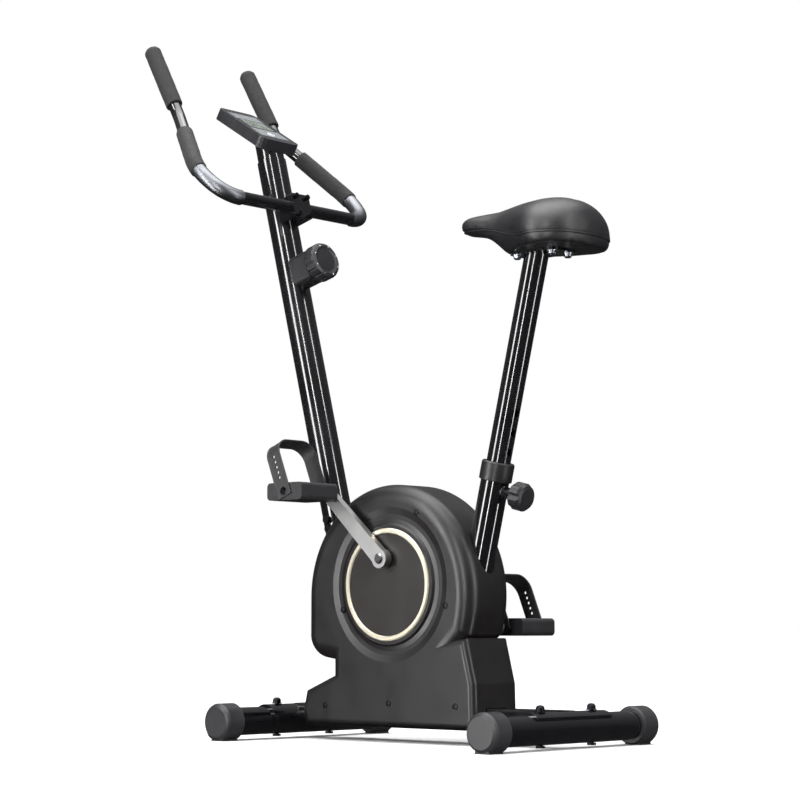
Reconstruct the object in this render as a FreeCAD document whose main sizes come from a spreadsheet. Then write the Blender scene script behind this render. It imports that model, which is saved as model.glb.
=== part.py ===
import FreeCAD, Part
import math
import os
import Sketcher

# Upright magnetic exercise bike, in millimetres.
# +X is the way the rider faces, +Y is the rider's left, +Z is up.
# The origin is on the floor under the middle of the bike.

os.makedirs("parts", exist_ok=True)
doc = FreeCAD.newDocument("ExerciseBike")
V = FreeCAD.Vector
UP = V(0, 0, 1)
LEFT = V(0, 1, 0)


# ---------------------------------------------------------------- sizes
class Size:
    """A number that remembers the sheet expression it came from."""

    def __init__(self, value, text):
        self.value = float(value)
        self.text = text

    def _join(self, other, sign, flip=False):
        a, b = (other, self) if flip else (self, other)
        av, at = (a.value, a.text) if isinstance(a, Size) else (float(a), "%.9g" % a)
        bv, bt = (b.value, b.text) if isinstance(b, Size) else (float(b), "%.9g" % b)
        done = {"+": av + bv, "-": av - bv, "*": av * bv, "/": av / bv if bv else 0.0}
        return Size(done[sign], "(%s %s %s)" % (at, sign, bt))

    def __add__(self, other):
        return self._join(other, "+")

    def __radd__(self, other):
        return self._join(other, "+", True)

    def __sub__(self, other):
        return self._join(other, "-")

    def __rsub__(self, other):
        return self._join(other, "-", True)

    def __mul__(self, other):
        return self._join(other, "*")

    def __rmul__(self, other):
        return self._join(other, "*", True)

    def __truediv__(self, other):
        return self._join(other, "/")

    def __neg__(self):
        return Size(-self.value, "(-%s)" % self.text)

    def __float__(self):
        return self.value


SIZES = [
    # overall layout
    ("axle_x", -74.56, "crank axle, along the bike"),
    ("axle_height", 290, "crank axle above the floor"),
    ("front_reach", 244, "crank axle to front stabiliser"),
    ("rear_reach", 314, "crank axle to rear stabiliser"),
    ("fit_gap", 0.05, "running clearance of a shaft in its hole"),
    ("free_gap", 0.3, "clearance between curved pieces that only pass each other"),
    # stabilisers
    ("bar_radius", 22.5, "stabiliser tube"),
    ("bar_wall", 2, "stabiliser tube wall"),
    ("bar_half", 190, "stabiliser tube half length"),
    ("bar_height", 30, "stabiliser axis above the floor"),
    ("cap_radius", 30, "end cap"),
    ("cap_length", 40, "end cap"),
    ("cap_end", 10, "thickness of the closed end of a rear cap"),
    ("foot_half", 13, "half width of the flat foot under a cap"),
    ("roller_radius", 13, "transport roller"),
    ("roller_width", 12, "transport roller"),
    ("roller_pin", 3, "radius of the roller pin"),
    ("roller_out", 19, "roller axis ahead of the stabiliser axis"),
    ("bracket_wall", 3.6, "saddle bracket on the stabiliser"),
    ("bracket_width", 180, "saddle bracket"),
    ("bolt_radius", 4, "frame bolts"),
    ("bolt_hole", 4.3, "bolt holes"),
    ("bolt_spread", 62, "bolt from the middle of the bracket"),
    # frame tubes
    ("base_width", 50, "base tube"),
    ("base_bottom", 22, "underside of the base tube"),
    ("base_top", 57, "top of the base tube"),
    ("tube_wall", 2.2, "wall of the frame tubes"),
    ("riser_radius", 22, "front riser inside the handlebar post"),
    ("riser_top", 400, "top of the front riser"),
    ("post_foot", 69.3, "post axis where it would meet the floor, ahead of the axle"),
    ("post_lean", 14.68, "forward lean of the post"),
    ("post_radius", 25, "handlebar post"),
    ("post_bottom", 318, "lower end of the handlebar post"),
    ("post_top", 988, "upper end of the handlebar post"),
    ("post_bolt_low", 344, "lower bolt through the foot of the post"),
    ("post_bolt_high", 359, "upper bolt through the foot of the post"),
    ("seat_foot", 75.3, "seat line where it would meet the floor, behind the axle"),
    ("seat_lean", 13.93, "backward lean of the seat line"),
    ("sleeve_radius", 22.5, "seat tube of the frame"),
    ("sleeve_bore", 20.4, "bore of the seat tube"),
    ("sleeve_top", 434, "top of the seat tube"),
    ("strut_half", 12, "half height and half width of the struts"),
    ("shell_radius", 22, "crank bearing shell"),
    ("shell_bore", 18, "crank bearing shell"),
    ("shell_half", 34, "crank bearing shell half length"),
    # seat
    ("collar_radius", 26, "plastic collar on the seat tube"),
    ("collar_drop", 25, "collar skirt down the seat tube"),
    ("collar_lip", 5, "collar lip above the seat tube"),
    ("seat_post_radius", 19, "seat post"),
    ("seat_post_bottom", 250, "lower end of the seat post"),
    ("seat_top", 756, "top of the seat post"),
    ("hole_pitch", 30, "spacing of the height holes"),
    ("lock_height", 396, "height of the seat knob on the seat line"),
    ("lock_radius", 22, "seat knob head"),
    ("lock_pin", 5, "seat knob pin radius"),
    ("lock_boss", 9, "boss for the seat knob"),
    ("saddle_plate", 4, "plate on top of the seat post"),
    ("pan_thick", 6, "saddle pan"),
    ("plate_back", 12, "middle of the saddle plate behind the seat post"),
    # drive
    ("crank_length", 160, "crank arm, axle to pedal"),
    ("crank_angle", 42.3, "left crank above the horizontal, forward"),
    ("crank_inner", 63, "inner face of the crank arm"),
    ("crank_thick", 14, "crank arm thickness"),
    ("crank_hub", 15, "crank hub radius"),
    ("crank_tip", 12, "crank arm radius at the pedal"),
    ("axle_radius", 8.5, "crank axle"),
    ("pulley_radius", 95, "drive pulley"),
    ("belt_middle", 41.5, "belt plane from the middle of the bike"),
    ("belt_width", 7, "belt"),
    ("belt_thick", 2, "belt"),
    ("fly_height", 165, "flywheel axis above the floor"),
    ("fly_radius", 82, "flywheel"),
    ("fly_half", 14, "flywheel half width"),
    ("fly_axle", 6, "flywheel axle radius"),
    ("fly_pulley", 13, "small pulley radius"),
    ("bearing_radius", 14, "flywheel bearing"),
    ("plate_inner", 20, "inner face of the flywheel plates"),
    ("plate_thick", 4, "flywheel plates"),
    ("magnet_gap", 2.5, "magnets clear of the flywheel rim"),
    ("magnet_thick", 4, "magnets"),
    ("arc_thick", 3, "magnet carrier"),
    ("arc_half", 14, "magnet carrier half width"),
    ("pivot_radius", 97, "carrier pivot from the flywheel axis"),
    ("pivot_pin", 4, "carrier pivot pin radius"),
    # pedals
    ("pedal_middle", 130, "pedal centre from the middle of the bike"),
    ("pedal_width", 82, "pedal"),
    ("pedal_length", 78, "pedal"),
    ("pedal_thick", 28, "pedal"),
    ("spindle_radius", 6, "pedal spindle"),
    ("strap_height", 84, "inside height of the strap from the pedal middle, along its slope"),
    ("strap_slope", 22, "forward slope of the strap"),
    ("strap_thick", 3, "strap"),
    ("strap_wide", 30, "strap"),
    # casing
    ("drum_radius", 178, "casing drum"),
    ("drum_x", 10, "casing drum centre ahead of the axle"),
    ("drum_z", 232, "casing drum centre above the floor"),
    ("nose_drop", 62, "straight part of the drum nose"),
    ("chin_radius", 38, "rounding under the drum nose"),
    ("case_half", 54, "casing half thickness"),
    ("case_wall", 3, "casing wall"),
    ("drum_round", 26, "rounding of the drum edge"),
    ("skirt_round", 11, "rounding of the skirt edge"),
    ("skirt_bottom", 24, "lower edge of the casing"),
    ("ring_z", 249.4, "ring centre above the floor"),
    ("ring_radius", 85.5, "middle of the trim ring"),
    ("ring_width", 8, "trim ring"),
    ("plateau", 3, "raised disc on the casing face"),
    ("plateau_radius", 97, "raised disc on the casing face"),
    ("axle_hole", 13, "hole in the casing for the crank hub"),
    # handlebar and console
    ("grip_radius", 15, "foam grips"),
    ("handle_radius", 11, "handlebar tube"),
    ("handle_wall", 1.8, "handlebar tube wall"),
    ("bar_x", 265, "handlebar middle ahead of the axle"),
    ("bar_z", 898, "handlebar middle above the floor"),
    ("hand_grip", 126, "length of a hand grip"),
    ("arm_grip", 97, "straight length of the foam on an arm, above the bend"),
    ("clamp_half", 21, "clamp half width"),
    ("clamp_tall", 44, "clamp height along the post"),
    ("clamp_lip", 6, "clamp beyond the bar"),
    ("knob_height", 780, "tension housing on the post"),
    ("knob_radius", 32, "tension knob"),
    ("knob_thick", 27, "tension knob"),
    ("housing_out", 57, "outer face of the tension housing from the post axis"),
    ("housing_half", 22, "tension housing half width"),
    ("housing_tall", 52, "tension housing height"),
    ("console_width", 90, "console"),
    ("console_depth", 140, "console"),
    ("console_thick", 20, "console"),
    ("console_tilt", 32, "console tilt toward the rider"),
    ("console_x", 371, "console underside middle ahead of the axle"),
    ("console_z", 1040, "console underside middle above the floor"),
    ("cable_radius", 2.5, "tension cable"),
    ("cable_offset", 12, "tension cable behind the post axis"),
]

sheet = doc.addObject("Spreadsheet::Sheet", "Params")
s = {}
for row, (alias, number, note) in enumerate(SIZES, start=1):
    sheet.set("A%d" % row, alias)
    sheet.set("B%d" % row, str(number))
    sheet.set("C%d" % row, note)
    sheet.setAlias("B%d" % row, alias)
    s[alias] = Size(number, "Params.%s" % alias)
doc.recompute()


def n(size):
    return float(size)


# ---------------------------------------------------------------- helpers
def bind(obj, prop, size):
    """Set a property from a size, keeping the link to the sheet."""
    if isinstance(size, Size):
        obj.setExpression(prop, size.text)
    else:
        setattr(obj, prop, size)


def aim(base, direction=UP):
    return FreeCAD.Placement(base, FreeCAD.Rotation(UP, direction))


def on_axle(x, y, z):
    """A point given ahead of the crank axle."""
    return V(n(s["axle_x"]) + n(x), n(y), n(z))


def cylinder(label, radius, height, base, direction=UP):
    obj = doc.addObject("Part::Cylinder", label)
    bind(obj, "Radius", radius)
    bind(obj, "Height", height)
    obj.Placement = aim(base, direction)
    return obj


def box(label, length, width, height, place):
    """A box with its own middle of length and width at the placement."""
    obj = doc.addObject("Part::Box", label)
    bind(obj, "Length", length)
    bind(obj, "Width", width)
    bind(obj, "Height", height)
    obj.Placement = place * FreeCAD.Placement(V(-n(length) / 2, -n(width) / 2, 0), FreeCAD.Rotation())
    return obj


def cut(label, base, *tools):
    tool = tools[0] if len(tools) == 1 else fuse(label + "_tools", *tools)
    obj = doc.addObject("Part::Cut", label)
    obj.Base = base
    obj.Tool = tool
    return obj


def fuse(label, *shapes):
    obj = doc.addObject("Part::MultiFuse", label)
    obj.Shapes = list(shapes)
    return obj


def common(label, *shapes):
    obj = doc.addObject("Part::MultiCommon", label)
    obj.Shapes = list(shapes)
    return obj


def group(label, *shapes):
    obj = doc.addObject("Part::Compound", label)
    obj.Links = list(shapes)
    return obj


def mirror(label, source):
    """The same piece on the other side of the bike."""
    obj = doc.addObject("Part::Mirroring", label)
    obj.Source = source
    obj.Base = V(0, 0, 0)
    obj.Normal = LEFT
    return obj


def round_edges(label, base, radius, keep):
    """Round the edges of a solid whose middle and direction pass the test."""
    doc.recompute()
    obj = doc.addObject("Part::Fillet", label)
    obj.Base = base
    chosen = []
    for index, edge in enumerate(base.Shape.Edges, start=1):
        if keep(edge):
            chosen.append((index, n(radius), n(radius)))
    obj.Edges = chosen
    return obj


def along(direction):
    """A test for straight edges that run along one direction."""
    def keep(edge):
        if not isinstance(edge.Curve, Part.Line):
            return False
        return abs(edge.Curve.Direction.dot(direction)) > 0.999
    return keep


def plane_of(body, role):
    for feature in body.Origin.OriginFeatures:
        if feature.Role == role:
            return feature


def sketch_on(body, role, lift=0.0):
    sketch = body.newObject("Sketcher::SketchObject", body.Name + "_sketch")
    sketch.AttachmentSupport = (plane_of(body, role), [""])
    sketch.MapMode = "FlatFace"
    if isinstance(lift, Size) or lift:
        sketch.AttachmentOffset = FreeCAD.Placement(V(0, 0, n(lift)), FreeCAD.Rotation())
        bind_offset(sketch, lift)
    return sketch


def bind_offset(sketch, lift):
    if isinstance(lift, Size):
        sketch.setExpression(".AttachmentOffset.Base.z", lift.text)


def pin_point(sketch, edge, end, x, y):
    """Hold one end of an edge at (x, y), each bound to its size."""
    for kind, axis, size in (("DistanceX", -2, x), ("DistanceY", -1, y)):
        value = n(size)
        if abs(value) < 1e-9:
            sketch.addConstraint(Sketcher.Constraint("PointOnObject", edge, end, axis))
            continue
        if value > 0:
            index = sketch.addConstraint(Sketcher.Constraint(kind, -1, 1, edge, end, value))
            text = size.text if isinstance(size, Size) else None
        else:
            index = sketch.addConstraint(Sketcher.Constraint(kind, edge, end, -1, 1, -value))
            text = (-size).text if isinstance(size, Size) else None
        if text:
            sketch.setExpression("Constraints[%d]" % index, text)


def add_outline(sketch, points):
    """A closed polygon whose corners are bound to their sizes."""
    flat = [V(n(x), n(y), 0) for x, y in points]
    count = len(flat)
    first = sketch.GeometryCount
    for i in range(count):
        sketch.addGeometry(Part.LineSegment(flat[i], flat[(i + 1) % count]), False)
    for i in range(count):
        sketch.addConstraint(Sketcher.Constraint("Coincident", first + i, 2, first + (i + 1) % count, 1))
    for i, (x, y) in enumerate(points):
        pin_point(sketch, first + i, 1, x, y)


def add_circle(sketch, x, y, radius):
    index = sketch.addGeometry(Part.Circle(V(n(x), n(y), 0), UP, n(radius)), False)
    pin_point(sketch, index, 3, x, y)
    held = sketch.addConstraint(Sketcher.Constraint("Radius", index, n(radius)))
    if isinstance(radius, Size):
        sketch.setExpression("Constraints[%d]" % held, radius.text)
    return index


def new_body(label, place=None):
    body = doc.addObject("PartDesign::Body", label)
    if place:
        body.Placement = place
    return body


def turned(label, points, base=V(0, 0, 0), direction=UP):
    """A solid of revolution; points are (radius, height) round the outline."""
    body = new_body(label, aim(base, direction))
    sketch = sketch_on(body, "XZ_Plane")
    add_outline(sketch, points)
    turn = body.newObject("PartDesign::Revolution", label + "_turn")
    turn.Profile = sketch
    turn.ReferenceAxis = (sketch, ["V_Axis"])
    turn.Angle = 360
    return body


def pad(body, sketch, length, symmetric=False, reverse=False):
    feature = body.newObject("PartDesign::Pad", body.Name + "_pad")
    feature.Profile = sketch
    bind(feature, "Length", length)
    feature.Midplane = symmetric
    feature.Reversed = reverse
    return feature


def pocket_all(body, sketch):
    feature = body.newObject("PartDesign::Pocket", body.Name + "_pocket")
    feature.Profile = sketch
    feature.Type = "ThroughAll"
    feature.Midplane = True
    return feature


def slab(label, points, thick, holes=(), place=None):
    """A plate in the XZ plane, centred on its own thickness, with round holes."""
    body = new_body(label, place)
    sketch = sketch_on(body, "XZ_Plane")
    add_outline(sketch, points)
    pad(body, sketch, thick, symmetric=True)
    if holes:
        cuts = sketch_on(body, "XZ_Plane")
        for x, z, radius in holes:
            add_circle(cuts, x, z, radius)
        pocket_all(body, cuts)
    return body


def shift(x=0, y=0, z=0):
    return FreeCAD.Placement(V(n(x), n(y), n(z)), FreeCAD.Rotation())


NODES = []


def node(obj, label):
    obj.Label = label
    NODES.append(obj)
    return obj


# ---------------------------------------------------------------- leaning lines
def post_point(z, behind=0.0):
    """A point on the post axis at height z, moved square to it toward the rider."""
    lean = math.radians(n(s["post_lean"]))
    x = n(s["axle_x"]) + n(s["post_foot"]) + math.tan(lean) * n(z)
    return V(x - math.cos(lean) * n(behind), 0, n(z) + math.sin(lean) * n(behind))


def post_dir():
    lean = math.radians(n(s["post_lean"]))
    return V(math.sin(lean), 0, math.cos(lean))


def post_back():
    lean = math.radians(n(s["post_lean"]))
    return V(-math.cos(lean), 0, math.sin(lean))


def seat_point(z, behind=0.0):
    lean = math.radians(n(s["seat_lean"]))
    x = n(s["axle_x"]) - n(s["seat_foot"]) - math.tan(lean) * n(z)
    return V(x - math.cos(lean) * n(behind), 0, n(z) - math.sin(lean) * n(behind))


def seat_dir():
    lean = math.radians(n(s["seat_lean"]))
    return V(-math.sin(lean), 0, math.cos(lean))


def seat_back():
    lean = math.radians(n(s["seat_lean"]))
    return V(-math.cos(lean), 0, -math.sin(lean))


def post_length(low, high):
    return (n(high) - n(low)) / math.cos(math.radians(n(s["post_lean"])))


def seat_length(low, high):
    return (n(high) - n(low)) / math.cos(math.radians(n(s["seat_lean"])))


def below(label, z, place_x, span=300):
    """A block that fills everything under a height, for trimming."""
    return box(label, span, span, n(z) + 50, shift(place_x, 0, -50))


# ---------------------------------------------------------------- stabilisers
def stabiliser(label, x, brackets):
    """A floor tube across the bike with bolt holes under its bracket."""
    start = V(x, -n(s["bar_half"]), n(s["bar_height"]))
    outer = cylinder(label + "_outer", s["bar_radius"], s["bar_half"] * 2, start, LEFT)
    inner = cylinder(label + "_inner", s["bar_radius"] - s["bar_wall"], s["bar_half"] * 2, start, LEFT)
    return cut(label, outer, inner, *bolt_holes(label, x))


def bolt_holes(label, x):
    holes = []
    for side in (-1, 1):
        base = V(x, side * n(s["bolt_spread"]), -20)
        holes.append(cylinder("%s_hole%d" % (label, side), s["bolt_hole"], 120, base))
    return holes


def bracket(label, x, inward):
    """Half shell over the tube, on its top and on the side that meets the base tube."""
    half = s["bracket_width"] / 2
    start = V(x, -n(half), n(s["bar_height"]))
    outer = cylinder(label + "_outer", s["bar_radius"] + s["bracket_wall"], half * 2, start, LEFT)
    inner = cylinder(label + "_inner", s["bar_radius"] + 0.1, half * 2, start, LEFT)
    reach = box(label + "_reach", 60, half * 2 + 2, 60, shift(x + inward * 12, 0, n(s["base_bottom"])))
    shell = common(label + "_shell", outer, reach)
    return cut(label, shell, inner, *bolt_holes(label, x))


def foot_block(label, x, y):
    """The flat foot under a cap, so that the bike stands on faces."""
    return box(label, s["foot_half"] * 2, s["cap_length"] - 8, 9, shift(x, y, 0))


def cap_profile(bore_depth):
    r = s["cap_radius"]
    length = s["cap_length"]
    return [
        (0, bore_depth), (s["bar_radius"] + 0.1, bore_depth), (s["bar_radius"] + 0.1, 0),
        (r - 3, 0), (r, 3), (r, length - 7), (r - 2, length - 3), (r - 6, length), (0, length),
    ]


def rear_cap(label, x):
    start = V(x, n(s["bar_half"]) - n(s["cap_length"]) + n(s["cap_end"]), n(s["bar_height"]))
    cup = turned(label + "_cup", cap_profile(s["cap_length"] - s["cap_end"]), start, LEFT)
    foot = foot_block(label + "_foot", x, start.y + n(s["cap_length"]) / 2)
    bore = cylinder(label + "_bore", s["bar_radius"] + 0.1, s["cap_length"] - s["cap_end"], start, LEFT)
    return cut(label, fuse(label + "_body", cup, foot), bore)


def front_cap(label, x):
    """An end cap with a slot and a fixed pin for the transport roller."""
    start = V(x, n(s["bar_half"]) - n(s["cap_length"]) + n(s["cap_end"]), n(s["bar_height"]))
    cup = turned(label + "_cup", cap_profile(FRONT_BORE), start, LEFT)
    foot = foot_block(label + "_foot", x, start.y + n(s["cap_length"]) / 2)
    bore = cylinder(label + "_bore", s["bar_radius"] + 0.1, FRONT_BORE, start, LEFT)
    axis = roller_centre(x)
    width = s["roller_width"] + 2
    slot = cylinder(label + "_slot", s["roller_radius"] + 2, width, axis - LEFT * (n(width) / 2), LEFT)
    shell = cut(label + "_shell", fuse(label + "_body", cup, foot), bore, slot)
    pin = cylinder(label + "_pin", s["roller_pin"], width + 4, axis - LEFT * (n(width) / 2 + 2), LEFT)
    return fuse(label, shell, pin)


def roller_centre(x):
    y = n(s["bar_half"]) + n(s["cap_end"]) - 16
    return V(x + n(s["roller_out"]), y, n(s["roller_radius"]) + 3)


def roller(label, x):
    half = s["roller_width"] / 2
    r = s["roller_radius"]
    hole = s["roller_pin"] + s["fit_gap"]
    points = [(hole, -half), (r - 1.5, -half), (r, 1.5 - half), (r, half - 1.5), (r - 1.5, half), (hole, half)]
    return turned(label, points, roller_centre(x), LEFT)


FRONT_BORE = s["cap_length"] - 26
FRONT_BAR_HALF = s["bar_half"] + s["cap_end"] - 26


def floor_parts():
    front = n(s["axle_x"]) + n(s["front_reach"])
    rear = n(s["axle_x"]) - n(s["rear_reach"])
    start = V(front, -n(FRONT_BAR_HALF), n(s["bar_height"]))
    outer = cylinder("front_bar_outer", s["bar_radius"], FRONT_BAR_HALF * 2, start, LEFT)
    inner = cylinder("front_bar_inner", s["bar_radius"] - s["bar_wall"], FRONT_BAR_HALF * 2, start, LEFT)
    node(cut("front_bar", outer, inner, *bolt_holes("front_bar", front)), "front_stabiliser")
    node(stabiliser("rear_bar", rear, 1), "rear_stabiliser")
    node(bracket("front_saddle", front, -1), "front_bracket")
    node(bracket("rear_saddle", rear, 1), "rear_bracket")
    left = node(front_cap("front_cap_l", front), "front_cap_left")
    node(mirror("front_cap_r", left), "front_cap_right")
    left = node(rear_cap("rear_cap_l", rear), "rear_cap_left")
    node(mirror("rear_cap_r", left), "rear_cap_right")
    left = node(roller("roller_l", front), "roller_left")
    node(mirror("roller_r", left), "roller_right")


def frame_bolts():
    """Bolts through the stabilisers and through the foot of the post, and the pivot pin."""
    bolts = []
    top = s["bar_height"] + s["bar_radius"] + s["bracket_wall"]
    low = s["bar_height"] - s["bar_radius"]
    r = s["bolt_radius"]
    for where, reach in (("front", n(s["front_reach"])), ("rear", -n(s["rear_reach"]))):
        for side in (-1, 1):
            points = [
                (0, low - 4), (7, low - 4), (7, low - 0.6), (r, low - 0.6),
                (r, top + 0.6), (8.5, top + 0.6), (8.5, top + 2), (6.8, top + 2),
                (6.8, top + 7), (4.5, top + 10), (0, top + 11),
            ]
            base = V(n(s["axle_x"]) + reach, side * n(s["bolt_spread"]), 0)
            bolts.append(turned("bolt_%s%d" % (where, side), points, base))
    for index, z in enumerate((s["post_bolt_low"], s["post_bolt_high"])):
        half = s["post_radius"] + 0.3
        points = [
            (0, -half - 6), (6.5, -half - 6), (6.5, -half), (r, -half),
            (r, half), (6.5, half), (6.5, half + 6), (0, half + 6),
        ]
        bolts.append(turned("post_bolt%d" % index, points, post_point(z), LEFT))
    half = s["plate_inner"] + s["plate_thick"]
    x, z = pivot_place()
    pin = [(0, -half - 3), (6, -half - 3), (6, -half), (s["pivot_pin"], -half),
           (s["pivot_pin"], half), (6, half), (6, half + 3), (0, half + 3)]
    bolts.append(turned("pivot_bolt", pin, on_axle(x, 0, z), LEFT))
    for side in (-1, 1):
        for step in (-1, 1):
            bolts.append(clamp_bolt("clamp_bolt%d%d" % (side, step), side, step))
    node(group("bolt_set", *bolts), "frame_bolts")


def clamp_bolt(label, side, step):
    base = bar_centre() + post_dir() * (step * CLAMP_STEP) + LEFT * (side * CLAMP_SIDE)
    base = base + post_back() * n(s["clamp_lip"] + s["handle_radius"] - 4)
    return turned(label, [(0, 0), (4.5, 0), (4.5, 6), (0, 6)], base, post_back())


# ---------------------------------------------------------------- welded frame
def leaning_tube(label, outer, inner, low, high, point, direction, length):
    start = point(low)
    shell = cylinder(label + "_outer", outer, length, start, direction)
    bore = cylinder(label + "_inner", inner, length, start, direction)
    return shell, bore


def pivot_place():
    """The magnet carrier's pivot, ahead of the axle and above the floor."""
    angle = math.radians(-130)
    return n(s["pivot_radius"]) * math.cos(angle), n(s["fly_height"]) + n(s["pivot_radius"]) * math.sin(angle)


def frame_parts():
    front = n(s["axle_x"]) + n(s["front_reach"])
    rear = n(s["axle_x"]) - n(s["rear_reach"])
    middle = (front + rear) / 2
    height = s["base_top"] - s["base_bottom"]
    wall = s["tube_wall"]
    span = s["front_reach"] + s["rear_reach"]
    outer = box("base_outer", span, s["base_width"], height, shift(middle, 0, n(s["base_bottom"])))
    outer = round_edges("base_round", outer, 5, along(V(1, 0, 0)))
    inner = box("base_inner", span + 2, s["base_width"] - wall * 2, height - wall * 2,
                shift(middle, 0, n(s["base_bottom"] + wall)))
    ends = []
    for where, x in (("front", front), ("rear", rear)):
        base = V(x, -60, n(s["bar_height"]))
        ends.append(cylinder("base_end_" + where, s["bar_radius"] + s["bracket_wall"], 120, base, LEFT))
    node(cut("base", outer, inner, *ends), "base_tube")

    low = 20
    floor = below("trim_riser", s["base_top"], post_point(60).x)
    shell, bore = leaning_tube("riser", s["riser_radius"], s["riser_radius"] - wall, low, s["riser_top"],
                               post_point, post_dir(), post_length(low, s["riser_top"]))
    holes = [cylinder("riser_hole%d" % i, s["bolt_hole"], 80, post_point(z) - LEFT * 40, LEFT)
             for i, z in enumerate((s["post_bolt_low"], s["post_bolt_high"]))]
    exit_hole = cylinder("riser_exit", s["cable_radius"] + 1.5, 60, cable_exit(), V(-1, 0, 0))
    riser = node(cut("riser", shell, bore, floor, exit_hole, *holes), "front_riser")

    floor = below("trim_sleeve", s["base_top"], seat_point(60).x)
    shell, bore = leaning_tube("sleeve", s["sleeve_radius"], s["sleeve_bore"], low, s["sleeve_top"],
                               seat_point, seat_dir(), seat_length(low, s["sleeve_top"]))
    boss = cylinder("lock_boss", s["lock_boss"], 40 - n(s["sleeve_radius"]) + 6,
                    seat_point(s["lock_height"], s["sleeve_radius"] - 6), seat_back())
    hole = cylinder("lock_hole", s["lock_pin"] + s["fit_gap"], 60, seat_point(s["lock_height"]), seat_back())
    node(cut("sleeve", fuse("sleeve_boss", shell, boss), bore, floor, hole), "seat_tube")

    start = on_axle(0, -n(s["shell_half"]), s["axle_height"])
    outer = cylinder("shell_outer", s["shell_radius"], s["shell_half"] * 2, start, LEFT)
    inner = cylinder("shell_inner", s["shell_bore"], s["shell_half"] * 2, start, LEFT)
    node(cut("shell", outer, inner), "bb_shell")
    struts()
    plates()


def struts():
    """Two square struts join the bearing shell to the riser and to the seat tube."""
    z = n(s["axle_height"])
    half = n(s["strut_half"])
    low = seat_point(z).x
    high = post_point(z).x
    bar = doc.addObject("Part::Box", "strut_bar")
    bar.Length = high - low
    bind(bar, "Width", s["strut_half"] * 2)
    bind(bar, "Height", s["strut_half"] * 2)
    bar.Placement = shift(low, -half, z - half)
    tools = [
        cylinder("strut_shell", s["shell_radius"], 100, on_axle(0, -50, z), LEFT),
        cylinder("strut_riser", s["riser_radius"], 200, post_point(z - 90), post_dir()),
        cylinder("strut_sleeve", s["sleeve_radius"], 200, seat_point(z - 90), seat_dir()),
    ]
    node(cut("strut_cut", bar, *tools), "frame_struts")


def plates():
    """Plates on the base tube that carry the flywheel bearings and the carrier pivot."""
    base = s["base_top"]
    top = s["fly_height"] + s["bearing_radius"] + 8
    px, pz = pivot_place()
    outline = [
        (px - 12, base), (60, base), (24, top), (-24, top),
        (px - 4, pz + 13), (px - 12, pz + 6),
    ]
    y = n(s["plate_inner"]) + n(s["plate_thick"]) / 2
    made = []
    for side in (-1, 1):
        holes = [(0, s["fly_height"], s["bearing_radius"]), (px, pz, s["pivot_pin"])]
        made.append(slab("plate%d" % side, outline, s["plate_thick"], holes, shift(s["axle_x"], side * y, 0)))
    node(group("plate_set", *made), "flywheel_plates")


def bearings():
    """Two crank bearings in the shell and two flywheel bearings in the plates."""
    rings = []
    gap = s["fit_gap"]
    for side in (-1, 1):
        place = on_axle(0, side * n(s["shell_half"]), s["axle_height"])
        r = s["axle_radius"] + gap
        points = [(r, -11), (s["shell_bore"], -11), (s["shell_bore"], 0), (s["shell_radius"] - 1, 0),
                  (s["shell_radius"] - 1, 1.8), (r, 1.8)]
        rings.append(turned("crank_bearing%d" % side, points, place, LEFT * side))
        place = on_axle(0, side * (n(s["plate_inner"]) - 2), s["fly_height"])
        r = s["fly_axle"] + gap
        points = [(r, 0), (s["bearing_radius"], 0), (s["bearing_radius"], 8), (r, 8)]
        rings.append(turned("fly_bearing%d" % side, points, place, LEFT * side))
    node(group("bearing_set", *rings), "bearings")


# ---------------------------------------------------------------- drive
def crank_arm(label, side):
    """A tapered arm from the axle to the pedal, drawn along its own X axis."""
    angle = n(s["crank_angle"]) if side > 0 else n(s["crank_angle"]) + 180
    y = side * (n(s["crank_inner"]) + n(s["crank_thick"]) / 2)
    turn = FreeCAD.Rotation(LEFT, -angle)
    body = new_body(label, FreeCAD.Placement(on_axle(0, y, s["axle_height"]), turn))
    length = s["crank_length"]
    for x, radius, thick in ((0, s["crank_hub"], s["crank_thick"]), (length, s["crank_tip"], s["crank_thick"])):
        sketch = sketch_on(body, "XZ_Plane")
        add_circle(sketch, x, 0, radius)
        pad(body, sketch, thick, symmetric=True)
    web = sketch_on(body, "XZ_Plane")
    hub = s["crank_hub"] - 1.5
    tip = s["crank_tip"] - 1.5
    add_outline(web, [(0, -hub), (length, -tip), (length, tip), (0, hub)])
    pad(body, web, s["crank_thick"] - 2, symmetric=True)
    cuts = sketch_on(body, "XZ_Plane")
    add_circle(cuts, 0, 0, s["axle_radius"])
    add_circle(cuts, length, 0, s["spindle_radius"])
    pocket_all(body, cuts)
    return body


def pedal_centre(side):
    angle = math.radians(n(s["crank_angle"]) if side > 0 else n(s["crank_angle"]) + 180)
    x = n(s["crank_length"]) * math.cos(angle)
    z = n(s["axle_height"]) + n(s["crank_length"]) * math.sin(angle)
    return on_axle(x, side * n(s["pedal_middle"]), z)


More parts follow.
